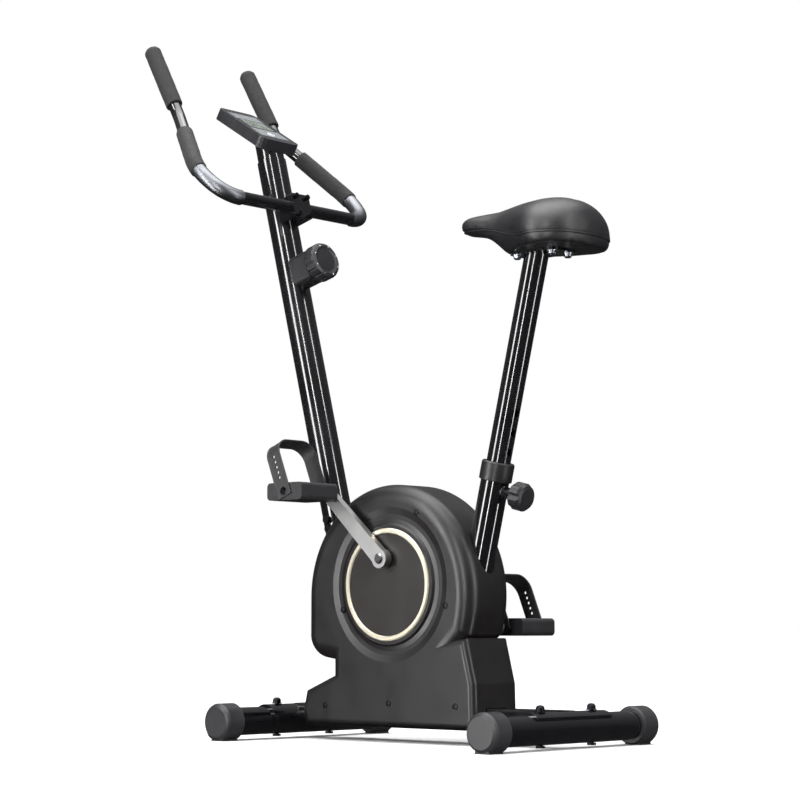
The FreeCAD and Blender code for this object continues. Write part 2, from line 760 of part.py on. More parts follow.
def crank_parts():
    half = s["crank_inner"] + s["crank_thick"]
    r = s["axle_radius"]
    points = [(0, -half - 3), (r - 2, -half - 3), (r, -half - 1), (r, half + 1), (r - 2, half + 3), (0, half + 3)]
    node(turned("axle", points, on_axle(0, 0, s["axle_height"]), LEFT), "crank_axle")
    node(crank_arm("arm_left", 1), "crank_left")
    node(crank_arm("arm_right", -1), "crank_right")
    belt = n(s["belt_middle"])
    big = s["pulley_radius"]
    w = s["belt_width"] / 2 + 0.6
    points = [
        (r, -5), (17, -5), (17, -2.5), (big - 12, -2.5), (big - 12, -w), (big, -w),
        (big, w), (big - 12, w), (big - 12, 2.5), (17, 2.5), (17, 5), (r, 5),
    ]
    place = on_axle(0, -belt, s["axle_height"])
    wheel = turned("pulley_wheel", points, place, LEFT)
    windows = []
    for i in range(5):
        spin = math.radians(72 * i + 18)
        base = place + V(53 * math.cos(spin), -20, 53 * math.sin(spin))
        windows.append(cylinder("pulley_window%d" % i, 20, 40, base, LEFT))
    node(cut("pulley", wheel, *windows), "drive_pulley")
    spindles = []
    for side in (-1, 1):
        r = s["spindle_radius"]
        inner = s["crank_inner"] + 1
        outer = s["pedal_middle"] + s["pedal_width"] / 2 - 6
        face = s["crank_inner"] + s["crank_thick"]
        points = [(0, inner), (r, inner), (r, face), (9, face), (9, face + 4), (r, face + 4), (r, outer), (0, outer)]
        base = pedal_centre(side)
        base.y = 0
        spindles.append(turned("spindle%d" % side, points, base, LEFT * side))
    node(group("spindle_set", *spindles), "pedal_spindles")


def belt():
    """The closed belt round both pulleys, drawn as a loop of even thickness."""
    gap = 0.3
    big = n(s["pulley_radius"]) + gap
    small = n(s["fly_pulley"]) + gap
    drop = n(s["axle_height"]) - n(s["fly_height"])
    place = on_axle(0, -n(s["belt_middle"]) - n(s["belt_width"]) / 2, 0)

    def loop(extra):
        a, b = big + extra, small + extra
        lean = math.asin((a - b) / drop)
        top = V(0, 0, n(s["axle_height"]))
        low = V(0, 0, n(s["fly_height"]))
        out = V(math.cos(lean), 0, -math.sin(lean))
        flip = V(-out.x, 0, out.z)
        edges = [
            Part.Arc(top + out * a, top + V(0, 0, a), top + flip * a).toShape(),
            Part.LineSegment(top + flip * a, low + flip * b).toShape(),
            Part.Arc(low + flip * b, low - V(0, 0, b), low + out * b).toShape(),
            Part.LineSegment(low + out * b, top + out * a).toShape(),
        ]
        return Part.Face(Part.Wire(edges))
    ring = loop(n(s["belt_thick"])).cut(loop(0))
    obj = doc.addObject("Part::Feature", "belt_loop")
    obj.Shape = ring.extrude(V(0, n(s["belt_width"]), 0))
    obj.Placement = FreeCAD.Placement(place, FreeCAD.Rotation())
    node(obj, "drive_belt")


def flywheel_parts():
    centre = on_axle(0, 0, s["fly_height"])
    r = s["fly_radius"]
    half = s["fly_half"]
    bore = s["fly_axle"]
    points = [
        (bore, -half), (16, -half), (16, -4), (r - 22, -4), (r - 20, -half), (r - 1.5, -half), (r, 1.5 - half),
        (r, half - 1.5), (r - 1.5, half), (r - 20, half), (r - 22, 4), (16, 4), (16, half), (bore, half),
    ]
    node(turned("wheel", points, centre, LEFT), "flywheel")
    mid = -s["belt_middle"]
    w = s["belt_width"] / 2
    small = s["fly_pulley"]
    points = [
        (0, mid - w - 3.5), (bore, mid - w - 3.5), (bore, mid - w - 2), (small + 4, mid - w - 2),
        (small + 4, mid - w - 0.6), (small, mid - w - 0.6), (small, mid + w + 0.6), (small + 4, mid + w + 0.6),
        (small + 4, mid + w + 2), (bore, mid + w + 2), (bore, s["plate_inner"] + 9), (0, s["plate_inner"] + 9),
    ]
    node(turned("fly_shaft", points, centre, LEFT), "flywheel_shaft")


def arc_slab(label, inner, outer, start, end, half, centre):
    """Part of a ring round the flywheel axis, between two angles in degrees."""
    body = new_body(label, aim(centre, LEFT))
    sketch = sketch_on(body, "XZ_Plane")
    add_outline(sketch, [(inner, -half), (outer, -half), (outer, half), (inner, half)])
    turn = body.newObject("PartDesign::Revolution", label + "_turn")
    turn.Profile = sketch
    turn.ReferenceAxis = (sketch, ["V_Axis"])
    turn.Angle = end - start
    body.Placement = FreeCAD.Placement(centre, FreeCAD.Rotation(LEFT, -end)) * SIDEWAYS
    return body


# local Z to the bike's +Y with local X kept, so that angles run from +X toward +Z
SIDEWAYS = FreeCAD.Placement(V(0, 0, 0), FreeCAD.Rotation(V(1, 0, 0), -90))


def magnet_parts():
    """The curved carrier under the flywheel, its lug and the magnets on it."""
    centre = on_axle(0, 0, s["fly_height"])
    inner = s["fly_radius"] + s["magnet_gap"] + s["magnet_thick"]
    carrier = arc_slab("carrier", inner, inner + s["arc_thick"], -133, -52, s["arc_half"], centre)
    px, pz = pivot_place()
    start = on_axle(px, -n(s["arc_half"]), pz)
    lug = cylinder("carrier_lug", s["pivot_pin"] + 4, s["arc_half"] * 2, start, LEFT)
    hole = cylinder("carrier_hole", s["pivot_pin"] + s["fit_gap"], s["arc_half"] * 2, start, LEFT)
    node(cut("carrier_cut", fuse("carrier_body", carrier, lug), hole), "magnet_carrier")
    magnets = []
    for i in range(5):
        middle = -118 + 14.5 * i
        low = s["fly_radius"] + s["magnet_gap"]
        magnets.append(arc_slab("magnet%d" % i, low, low + s["magnet_thick"], middle - 4.5, middle + 4.5,
                                s["arc_half"] - 2, centre))
    node(group("magnet_set", *magnets), "magnets")
    coil()


def coil():
    """The close-wound torsion spring round the pivot, drawn as one ribbed sleeve."""
    px, pz = pivot_place()
    wire = 1.4
    inner = n(s["pivot_pin"]) + 1
    outer = inner + wire
    points = [(inner, 0)]
    for turn in range(3):
        low = turn * wire
        points += [(outer - 0.4, low + 0.05), (outer, low + 0.4), (outer, low + 1.0), (outer - 0.4, low + 1.35)]
    points.append((inner, 3 * wire))
    node(turned("coil", points, on_axle(px, n(s["arc_half"]) + 1, pz), LEFT), "magnet_spring")


# ---------------------------------------------------------------- pedals
def pedal(label, side):
    """A plastic pedal block with grip slots on both faces and a bore for the spindle."""
    centre = pedal_centre(side)
    length = s["pedal_length"]
    thick = s["pedal_thick"]
    block = box(label + "_block", length, s["pedal_width"], thick, shift(centre.x, centre.y, centre.z - n(thick) / 2))
    block = round_edges(label + "_round", block, 7, along(LEFT))
    tools = []
    for i in (-2, -1, 1, 2):
        for up in (-1, 1):
            z = centre.z + up * (n(thick) / 2) - 3
            place = shift(centre.x + i * 13.5, centre.y, z)
            tools.append(box("%s_slot%d%d" % (label, i, up), 7, s["pedal_width"] - 16, 6, place))
    bore = centre - LEFT * 60
    tools.append(cylinder(label + "_bore", s["spindle_radius"] + s["fit_gap"], 120, bore, LEFT))
    return cut(label, block, *tools)


def strap(label, side):
    """A band over the foot, fixed to both side faces of the pedal and sloping forward."""
    centre = pedal_centre(side)
    half = s["pedal_width"] / 2
    rise = s["strap_height"]
    thick = s["strap_thick"]
    wide = s["strap_wide"]
    slope = FreeCAD.Rotation(LEFT, n(s["strap_slope"]))
    place = FreeCAD.Placement(centre, slope) * shift(0, 0, -10)
    over = slope.multVec(UP)
    across = slope.multVec(V(1, 0, 0))
    high = centre.dot(over) + n(rise) / 2
    outer = box(label + "_outer", wide, (half + thick) * 2, rise + thick + 10, place)
    outer = round_edges(label + "_outer_round", outer, 27, top_corners(across, over, high))
    inner = box(label + "_inner", wide + 2, half * 2, rise + 10 + 40, place * shift(0, 0, -40))
    inner = round_edges(label + "_inner_round", inner, 24, top_corners(across, over, high))
    hole = cylinder(label + "_hole", s["spindle_radius"] + 1, 160, centre - LEFT * 80, LEFT)
    return cut(label, outer, inner, hole)


def top_corners(across, over, high):
    """Picks the edges that run across the band and lie above a height along its slope."""
    def keep(edge):
        run = along(across)
        return run(edge) and edge.CenterOfMass.dot(over) > high
    return keep


def pedal_parts():
    for side, word in ((1, "left"), (-1, "right")):
        node(pedal("pedal_" + word + "_body", side), "pedal_" + word)
        node(strap("strap_" + word + "_band", side), "strap_" + word)


# ---------------------------------------------------------------- casing
def drum_edges(inset):
    """The drum outline, ahead of the axle and above the floor, drawn in by the inset.

    A large arc runs over the top, a short straight down the nose and a small arc
    under the chin, all tangent, then a straight runs back under the drum.
    """
    w = n(inset)
    r = n(s["drum_radius"]) - w
    chin = n(s["chin_radius"])
    cx = n(s["drum_x"])
    cz = n(s["drum_z"])
    start = math.radians(200.4)
    turn = math.radians(82)
    a = V(cx + r * math.cos(start), 0, cz + r * math.sin(start))
    nose = V(cx + r, 0, cz)
    centre = V(cx + n(s["drum_radius"]) - chin, 0, cz - n(s["nose_drop"]))
    small = chin - w
    first = centre + V(small, 0, 0)
    middle = centre + V(math.cos(turn / 2), 0, -math.sin(turn / 2)) * small
    last = centre + V(math.cos(turn), 0, -math.sin(turn)) * small
    heel = last + V(-math.sin(turn), 0, -math.cos(turn)) * (n(s["drum_radius"]) + 58 - w)
    return [
        Part.Arc(a, V(cx, 0, cz + r), nose).toShape(), Part.LineSegment(nose, first).toShape(),
        Part.Arc(first, middle, last).toShape(), Part.LineSegment(last, heel).toShape(),
        Part.LineSegment(heel, a).toShape(),
    ]


def casing_drum(label, inset):
    """Half of the drum, from the middle of the bike outward, with its rim rounded."""
    w = n(inset)
    solid = Part.Face(Part.Wire(drum_edges(inset))).extrude(V(0, n(s["case_half"]) - w, 0))
    face = [e for e in solid.Edges if e.BoundBox.YMin > n(s["case_half"]) - w - 0.01]
    solid = solid.makeFillet(n(s["drum_round"]) - w, face)
    obj = doc.addObject("Part::Feature", label)
    obj.Shape = solid
    obj.Placement = shift(s["axle_x"])
    return obj


def skirt_outline(inset, low):
    w = n(inset)
    return [
        (w - 178, low), (w - 176, 95), (w - 158, 165 - w), (40 - w, 138 - w),
        (187 - w, 80 - w), (195 - w, 48), (184 - w, low),
    ]


def casing_skirt(label, inset, low):
    w = n(inset)
    body = new_body(label, shift(s["axle_x"]))
    sketch = sketch_on(body, "XZ_Plane")
    add_outline(sketch, skirt_outline(inset, low))
    block = pad(body, sketch, s["case_half"] - inset, reverse=True)
    doc.recompute()
    edges = rim_names(body, n(s["case_half"]) - w)
    rounding = body.newObject("PartDesign::Fillet", label + "_round")
    rounding.Base = (block, edges)
    bind(rounding, "Radius", s["skirt_round"] - inset)
    return body


def rim_names(body, y):
    names = []
    for index, edge in enumerate(body.Shape.Edges, start=1):
        if edge.BoundBox.YMin > y - 0.01:
            names.append("Edge%d" % index)
    return names


def casing_neck(label, inset, low):
    """The narrow part between the drum's chin and the flare of the skirt."""
    w = n(inset)
    length = 260 - w
    depth = s["case_half"] - inset
    block = doc.addObject("Part::Box", label + "_block")
    block.Length = length
    bind(block, "Width", depth)
    block.Height = 150 - low
    block.Placement = shift(n(s["axle_x"]) + 129 - w - length, 0, low)
    return round_edges(label, block, 20 - w, neck_corner(n(s["axle_x"]) + 129 - w, n(depth)))


def neck_corner(x, y):
    def keep(edge):
        middle = edge.CenterOfMass
        return along(UP)(edge) and middle.x > x - 1 and middle.y > y - 1
    return keep


def face_rings():
    """Outer relief of a casing face: a raised disc inside a shallow channel."""
    centre = on_axle(0, 0, s["ring_z"])
    face = s["case_half"]
    r = s["plateau_radius"]
    points = [(0, face - 2), (r + 1, face - 2), (r + 1, face), (r - 2, face + s["plateau"]), (0, face + s["plateau"])]
    disc = turned("plateau_disc", points, centre, LEFT)
    points = [(r + 1, face + 4), (r + 1, face - 0.6), (r + 8, face - 2.2), (r + 15, face - 2.2),
              (r + 26, face - 0.2), (r + 30, face + 4)]
    channel = turned("channel", points, centre, LEFT)
    return disc, channel


def casing():
    wall = s["case_wall"]
    floor = s["skirt_bottom"]
    outer = fuse("case_outer", casing_drum("drum_out", 0), casing_skirt("skirt_out", 0, floor),
                 casing_neck("neck_out", 0, 60))
    inner = fuse("case_inner", casing_drum("drum_in", wall), casing_skirt("skirt_in", wall, n(floor) - 20),
                 casing_neck("neck_in", wall, 20))
    disc, channel = face_rings()
    shell = fuse("case_shell", cut("case_skin", outer, channel, inner), disc)
    holes = [
        cylinder("case_post", s["post_radius"] + 0.6, 300, post_point(290), post_dir()),
        cylinder("case_riser", s["riser_radius"] + 2, 300, post_point(60), post_dir()),
        cylinder("case_sleeve", s["sleeve_radius"] + 0.6, 420, seat_point(60), seat_dir()),
        cylinder("case_axle", s["axle_hole"], 100, on_axle(0, 0, s["axle_height"]), LEFT),
        box("case_base", 460, s["base_width"] + 1, 60, shift(s["axle_x"], 0, n(s["base_top"]) + 0.5 - 60)),
    ]
    holes += screw_holes()
    left = node(cut("case_left", shell, *holes), "casing_left")
    node(mirror("case_right", left), "casing_right")
    trim()


SCREWS = [(100, 210), (-120, 215), (-60, 362), (80, 352), (-140, 60), (140, 56), (0, 62)]


def screw_holes():
    made = []
    for i, (x, z) in enumerate(SCREWS):
        made.append(cylinder("screw_hole%d" % i, 3.2, 20, on_axle(x, n(s["case_half"]) - 12, z), LEFT))
    return made


def trim():
    """Trim rings, dark centre discs and casing screws on both sides."""
    face = s["case_half"] + s["plateau"]
    centre = on_axle(0, 0, s["ring_z"])
    half = s["ring_width"] / 2
    r = s["ring_radius"]
    rings, discs, screws = [], [], []
    for side in (-1, 1):
        way = LEFT * side
        points = [(r - half, face), (r + half, face), (r + half, face + 1.6), (r + half - 1.6, face + 3.2),
                  (r - half + 1.6, face + 3.2), (r - half, face + 1.6)]
        rings.append(turned("ring%d" % side, points, centre, way))
        inner = r - half - 0.3
        points = [(0, face), (inner, face), (inner, face + 1), (inner - 1, face + 1.6), (0, face + 1.6)]
        disc = turned("disc%d" % side, points, centre, way)
        hole = cylinder("disc_hole%d" % side, s["axle_hole"], 30, on_axle(0, side * 50, s["axle_height"]), way)
        discs.append(cut("disc_cut%d" % side, disc, hole))
        for i, (x, z) in enumerate(SCREWS):
            y = n(s["case_half"])
            points = [(0, -7), (3, -7), (3, 0), (5.2, 0), (4.6, 1.4), (0, 1.8)]
            screws.append(turned("screw%d_%d" % (side, i), points, on_axle(x, side * y, z), way))
    node(group("ring_set", *rings), "casing_rings")
    node(group("disc_set", *discs), "casing_discs")
    node(group("screw_set", *screws), "casing_screws")


# ---------------------------------------------------------------- post and handlebar
def cable_exit():
    return post_point(96, s["cable_offset"])


def post_parts():
    length = post_length(s["post_bottom"], s["post_top"])
    start = post_point(s["post_bottom"])
    outer = cylinder("post_outer", s["post_radius"], length, start, post_dir())
    inner = cylinder("post_inner", s["post_radius"] - s["tube_wall"], length, start, post_dir())
    holes = [cylinder("post_hole%d" % i, s["bolt_hole"], 80, post_point(z) - LEFT * 40, LEFT)
             for i, z in enumerate((s["post_bolt_low"], s["post_bolt_high"]))]
    feed = cylinder("post_feed", s["cable_radius"] + 3.5, 40, post_point(s["knob_height"]), post_back())
    node(cut("post", outer, inner, feed, *holes), "handlebar_post")
    cable()


def cable():
    """The tension cable: out of the housing, down inside the post to the carrier."""
    r = 20
    top = post_point(s["knob_height"], n(s["post_radius"]) + 1)
    turn_in = post_point(s["knob_height"], n(s["cable_offset"]) + r)
    down = post_point(s["knob_height"], s["cable_offset"]) - post_dir() * r
    low = post_point(140, s["cable_offset"])
    bulge = turn_in - post_back() * (r * math.sin(math.radians(45))) - post_dir() * (r * (1 - math.cos(math.radians(45))))
    edges = [Part.Arc(turn_in, bulge, down).toShape(), Part.LineSegment(down, low).toShape()]
    wire = Part.Wire(edges)
    profile = Part.Wire(Part.Circle(turn_in, post_back(), n(s["cable_radius"])).toShape())
    obj = doc.addObject("Part::Feature", "cable_run")
    obj.Shape = wire.makePipeShell([profile], True, False)
    node(obj, "tension_cable")


def bar_centre():
    return on_axle(s["bar_x"], 0, s["bar_z"])


CLAMP_STEP = 16.5
CLAMP_SIDE = 13


def clamp_face():
    """Distance of the bar behind the post axis, square to the post."""
    gap = bar_centre() - post_point(s["bar_z"])
    return gap.dot(post_back())


def handle_points(side):
    """Corners of the handlebar from its middle out to one end."""
    x = n(s["bar_x"])
    z = n(s["bar_z"])
    rows = [(0, 0, 0), (0, 168, 0), (50, 187, 46), (173, 118, 168), (249, 115, 298)]
    return [on_axle(x + dx, side * y, z + dz) for dx, y, dz in rows]


HANDLE_BENDS = (45, 92, 60)


def handle_path(side):
    """Straight runs joined by tangent arcs, as a list of edges."""
    points = handle_points(side)
    edges = []
    start = points[0]
    for corner, after, radius in zip(points[1:-1], points[2:], HANDLE_BENDS):
        before = (start - corner).normalize()
        onward = (after - corner).normalize()
        half = before.getAngle(onward) / 2
        reach = radius / math.tan(half)
        first = corner + before * reach
        last = corner + onward * reach
        centre = corner + (before + onward).normalize() * (radius / math.sin(half))
        middle = centre + (corner - centre).normalize() * radius
        edges.append(Part.LineSegment(start, first).toShape())
        edges.append(Part.Arc(first, middle, last).toShape())
        start = last
    edges.append(Part.LineSegment(start, points[-1]).toShape())
    return edges


def sweep(edges, radius):
    wire = Part.Wire(edges)
    start = edges[0].valueAt(edges[0].FirstParameter)
    way = edges[0].tangentAt(edges[0].FirstParameter)
    profile = Part.Wire(Part.Circle(start, way, radius).toShape())
    return wire.makePipeShell([profile], True, False)


def handle_half(edges):
    r = n(s["handle_radius"])
    return sweep(edges, r).cut(sweep(edges, r - n(s["handle_wall"])))


def handlebar():
    left = handle_path(1)
    half = handle_half(left)
    other = half.mirror(V(0, 0, 0), LEFT)
    obj = doc.addObject("Part::Feature", "handle_tube")
    obj.Shape = half.fuse(other).removeSplitter()
    node(obj, "handlebar_tube")

    outer = n(s["grip_radius"])
    inner = n(s["handle_radius"])
    end = handle_points(1)[-1]
    way = (end - handle_points(1)[-2]).normalize()
    length = n(s["hand_grip"])
    points = [(inner, 0), (outer - 1, 0), (outer, 2), (outer, length - 2), (outer - 4, length + 4),
              (0, length + 5), (0, length + 0.2), (inner, length + 0.2)]
    grip = turned("hand_grip_l", points, end - way * length, way)
    node(group("hand_grip_set", grip, mirror("hand_grip_r", grip)), "hand_grips")

    lower, upper = split_arc(left[3])
    run = left[4]
    start = run.Vertexes[0].Point
    stop = run.Vertexes[-1].Point
    reach = Part.LineSegment(start, start + (stop - start).normalize() * n(s["arm_grip"])).toShape()
    foam = sleeve("arm_grip_l", [upper, reach], outer, inner)
    node(group("arm_grip_set", foam, mirror("arm_grip_r", foam)), "arm_grips")
    plates = sleeve("sensor_l", [left[1], left[2], lower], inner + 2, inner)
    node(group("sensor_set", plates, mirror("sensor_r", plates)), "pulse_sensors")


def split_arc(arc):
    """The two halves of an arc."""
    first, last = arc.ParameterRange
    middle = (first + last) / 2
    return arc.Curve.toShape(first, middle), arc.Curve.toShape(middle, last)


def sleeve(label, edges, outer, inner):
    obj = doc.addObject("Part::Feature", label)
    obj.Shape = sweep(edges, outer).cut(sweep(edges, inner))
    return obj


def clamp():
    """Two blocks round the bar: one saddled on the post, one in front of it."""
    away = clamp_face()
    base = bar_centre()
    bar = cylinder("clamp_bar", s["handle_radius"] + s["fit_gap"] + 0.02, 200, base - LEFT * 100, LEFT)
    post = cylinder("clamp_post", s["post_radius"], 300, post_point(780), post_dir())
    shift_up = (base - post_point(s["bar_z"])).dot(post_dir())
    low = clamp_block("clamp_low", 0, away - 0.5, shift_up)
    high = clamp_block("clamp_high", away + 0.5, n(s["handle_radius"] + s["clamp_lip"]) - 4.5, shift_up)
    node(cut("clamp_low_cut", low, bar, post), "clamp_base")
    node(cut("clamp_high_cut", high, bar), "clamp_cap")


def clamp_block(label, start, depth, up):
    place = FreeCAD.Placement(post_point(s["bar_z"]) + post_dir() * up, FreeCAD.Rotation(UP, post_back()))
    block = box(label + "_block", s["clamp_tall"], s["clamp_half"] * 2, depth, place * shift(0, 0, start))
    return round_edges(label, block, 4, along(post_back()))


def tension_parts():
    """The housing on the back of the post and the knob that sets the load."""
    start = n(s["post_radius"]) - 8
    place = FreeCAD.Placement(post_point(s["knob_height"]), FreeCAD.Rotation(UP, post_back()))
    block = box("housing_block", s["housing_tall"], s["housing_half"] * 2, s["housing_out"] - start,
                place * shift(0, 0, start))
    block = round_edges("housing_round", block, 9, along(post_back()))
    post = cylinder("housing_post", s["post_radius"], 300, post_point(660), post_dir())
    feed = cylinder("housing_feed", s["cable_radius"] + 3.5, 36, post_point(s["knob_height"]), post_back())
    stem_hole = cylinder("housing_stem", 6 + n(s["fit_gap"]), 20,
                         post_point(s["knob_height"], s["housing_out"] - 12), post_back())
    node(cut("housing", block, post, feed, stem_hole), "tension_housing")

    r = s["knob_radius"]
    thick = s["knob_thick"]
    points = [(0, -11), (6, -11), (6, 0.4), (r - 3, 0.4), (r, 4), (r, thick - 6), (r - 2, thick - 2),
              (r - 7, thick), (r - 12, thick - 1.5), (0, thick - 1.5)]
    dial = turned("knob_dial", points, post_point(s["knob_height"], s["housing_out"]), post_back())
    flutes = []
    for i in range(16):
        spin = 22.5 * i + 11.25
        place = aim(post_point(s["knob_height"], s["housing_out"] + 6), post_back())
        off = V((n(r) + 1.2) * math.cos(math.radians(spin)), (n(r) + 1.2) * math.sin(math.radians(spin)), 0)
        flutes.append(cylinder("knob_flute%d" % i, 2.6, 40, place.multVec(off), post_back()))
    node(cut("knob", dial, *flutes), "tension_knob")


# ---------------------------------------------------------------- console
def console_place():
    tilt = FreeCAD.Rotation(LEFT, -n(s["console_tilt"]))
    return FreeCAD.Placement(on_axle(s["console_x"], 0, s["console_z"]), tilt)


def console_parts():
    place = console_place()
    thick = s["console_thick"]
    block = box("console_block", s["console_depth"], s["console_width"], thick, place)
    normal = place.Rotation.multVec(UP)
    block = round_edges("console_round", block, 14, along(normal))
    window = box("console_window", 104, s["console_width"] - 22, 10, place * shift(2, 0, n(thick) - 2.5))
    screen = box("console_screen", 103.4, s["console_width"] - 22.6, 2.4, place * shift(2, 0, n(thick) - 2.5))
    screen_hole = cylinder("screen_hole", 8.3, 12, place.multVec(V(-36, 0, n(thick) - 8)), normal)
    hole = cylinder("console_hole", 8.3, 12, place.multVec(V(-36, 0, n(thick) - 8)), normal)
    node(cut("console_shell", block, window, hole), "console_body")
    node(cut("console_glass", screen, screen_hole), "console_face")
    key = [(0, -5.5), (7.8, -5.5), (7.8, -1), (7, 0.6), (0, 0.9)]
    node(turned("console_key", key, place.multVec(V(-36, 0, n(thick))), normal), "console_button")
    neck = cylinder("neck_stub", s["post_radius"] - 2, 90, post_point(s["post_top"]), post_dir())
    trim_box = box("neck_trim", 400, 200, 200, place)
    node(cut("neck", neck, trim_box), "console_mount")


# ---------------------------------------------------------------- seat
def seat_parts():
    r = s["collar_radius"]
    inner = s["seat_post_radius"] + 0.1
    sleeve = s["sleeve_radius"] + 0.1
    drop = s["collar_drop"]
    points = [
        (inner, -70), (s["sleeve_bore"] - 0.1, -70), (s["sleeve_bore"] - 0.1, 0), (sleeve, 0), (sleeve, -drop),
        (r - 1, -drop), (r, 1 - drop), (r, s["collar_lip"] - 2), (r - 2, s["collar_lip"]), (inner, s["collar_lip"]),
    ]
    ring = turned("collar", points, seat_point(s["sleeve_top"]), seat_dir())
    slot = cylinder("collar_hole", s["lock_pin"] + s["fit_gap"], 60, seat_point(s["lock_height"]), seat_back())
    node(cut("collar_cut", ring, slot), "seat_bushing")

    low = s["seat_post_bottom"]
    length = seat_length(low, s["seat_top"] + 20)
    outer = cylinder("seat_post_outer", s["seat_post_radius"], length, seat_point(low), seat_dir())
    bore = cylinder("seat_post_inner", s["seat_post_radius"] - s["tube_wall"], length, seat_point(low), seat_dir())
    top = box("seat_post_trim", 200, 200, 100, shift(seat_point(s["seat_top"]).x, 0, n(s["seat_top"])))
    holes = []
    for i in range(7):
        z = n(s["lock_height"]) + (i - 2) * n(s["hole_pitch"])
        holes.append(cylinder("height_hole%d" % i, s["lock_pin"] + 0.3, 30, seat_point(z), seat_back()))
    node(cut("seat_tube_post", outer, bore, top, *holes), "seat_post")

    tip = s["seat_post_radius"] + 0.4
    boss_end = 40
    points = [
        (0, tip), (s["lock_pin"] - 1, tip), (s["lock_pin"], tip + 1), (s["lock_pin"], boss_end + 0.4),
        (s["lock_radius"] - 9, boss_end + 0.4), (s["lock_radius"], boss_end + 8), (s["lock_radius"], boss_end + 24),
        (s["lock_radius"] - 3, boss_end + 28), (s["lock_radius"] - 8, boss_end + 29.5), (0, boss_end + 29.5),
    ]
    head = turned("lock_turned", points, seat_point(s["lock_height"]), seat_back())
    lobes = []
    place = aim(seat_point(s["lock_height"], boss_end + 6), seat_back())
    for i in range(6):
        spin = math.radians(60 * i + 30)
        reach = n(s["lock_radius"]) + 3.5
        off = V(reach * math.cos(spin), reach * math.sin(spin), 0)
        lobes.append(cylinder("lock_lobe%d" % i, 7, 40, place.multVec(off), seat_back()))
    node(cut("lock_cut", head, *lobes), "seat_knob")
    saddle()


# x behind the middle of the post top, half width, half height, middle height above the pan plane
# sections of the cushion from nose to tail: place ahead of the post, half width, half height, middle
SADDLE = [
    (147, 12, 9, 56), (134, 24, 15, 55), (92, 33, 20, 51), (36, 50, 42, 34), (-18, 78, 50, 30),
    (-58, 88, 58, 22), (-92, 72, 50, 20), (-106, 50, 36, 21), (-114, 16, 12, 25),
]
# half outline of the saddle pan: place ahead of the post and half width
PAN = [(34, 16), (16, 40), (-20, 62), (-58, 72), (-82, 64), (-94, 44), (-98, 20)]


def pan_outline(spare):
    """The pan's outline, opened out by a spare gap."""
    right = [(x + (spare if x > 0 else -spare), -y - spare) for x, y in PAN]
    left = [(x, -y) for x, y in reversed(right)]
    return right + left


def pan_prism(label, x, z, spare, thick):
    body = new_body(label, shift(x, 0, z))
    sketch = sketch_on(body, "XY_Plane")
    add_outline(sketch, pan_outline(spare))
    pad(body, sketch, thick)
    return body


def saddle():
    top = seat_point(s["seat_top"])
    base = V(top.x, 0, top.z)
    middle = base.x - n(s["plate_back"])
    plate = box("plate_block", 92, 60, s["saddle_plate"], shift(middle, 0, base.z))
    plate = round_edges("plate_round", plate, 12, along(UP))
    holes = []
    for dx in (-34, 34):
        for y in (-20, 20):
            holes.append(cylinder("plate_hole%d%d" % (dx, y), 3.4, 40, V(middle + dx, y, base.z - 10)))
    node(cut("plate_cut", plate, *holes), "saddle_plate")

    pan_z = base.z + n(s["saddle_plate"])
    body = pan_prism("pan", base.x, pan_z, 0, s["pan_thick"])
    node(cut("pan_cut", body, *holes), "saddle_pan")

    cushion = new_body("cushion", shift(base.x, 0, pan_z))
    sections = []
    for x, wide, tall, mid in SADDLE:
        sketch = sketch_on(cushion, "YZ_Plane", float(x))
        shape = Part.Ellipse(V(0, mid, 0), max(wide, tall), min(wide, tall))
        index = sketch.addGeometry(shape, False)
        sketch.addConstraint(Sketcher.Constraint("Block", index))
        sections.append(sketch)
    loft = cushion.newObject("PartDesign::AdditiveLoft", "cushion_loft")
    loft.Profile = sections[0]
    loft.Sections = sections[1:]
    loft.Ruled = False
    trim_box = box("cushion_trim", 500, 300, 100, shift(base.x, 0, pan_z - 100))
    recess = pan_prism("pan_recess", base.x, pan_z - 5, 0.3, s["pan_thick"] + 5)
    node(cut("cushion_cut", cushion, trim_box, recess), "saddle_cushion")

    bolts = []
    for dx in (-34, 34):
        for y in (-20, 20):
            points = [(0, -7), (4.5, -7), (6, -5), (6, -1.2), (8, -1.2), (8, 0), (3, 0), (3, 9.5), (0, 9.5)]
            bolts.append(turned("saddle_bolt%d%d" % (dx, y), points, V(middle + dx, y, base.z)))
    node(group("saddle_bolt_set", *bolts), "saddle_bolts")


# ---------------------------------------------------------------- build, check and write
def build_all():
    floor_parts()
    frame_parts()
    bearings()
    crank_parts()
    belt()
    flywheel_parts()
    magnet_parts()
    pedal_parts()
    casing()
    post_parts()
    handlebar()
    clamp()
    tension_parts()
    console_parts()
    seat_parts()
    frame_bolts()


def check_all():
    doc.recompute()
    bad = []
    for obj in doc.Objects:
        if "Invalid" in obj.State or "Error" in obj.State:
            bad.append("%s %s" % (obj.Label, obj.State))
    for obj in NODES:
        if obj.Shape.isNull() or not obj.Shape.isValid() or not obj.Shape.Solids:
            bad.append("%s has no valid solid" % obj.Label)
    if bad:
        raise SystemExit("not written: " + "; ".join(bad))


def write_all():
    box_all = FreeCAD.BoundBox()
    for obj in NODES:
        obj.Shape.exportStep("parts/%s.step" % obj.Label)
        box_all.add(obj.Shape.BoundBox)
        print("%-18s solids %d volume %.0f" % (obj.Label, len(obj.Shape.Solids), obj.Shape.Volume))
    print("nodes", len(NODES))
    print("box", [round(v, 2) for v in (box_all.XMin, box_all.XMax, box_all.YMin, box_all.YMax,
                                         box_all.ZMin, box_all.ZMax)])


build_all()
check_all()
write_all()
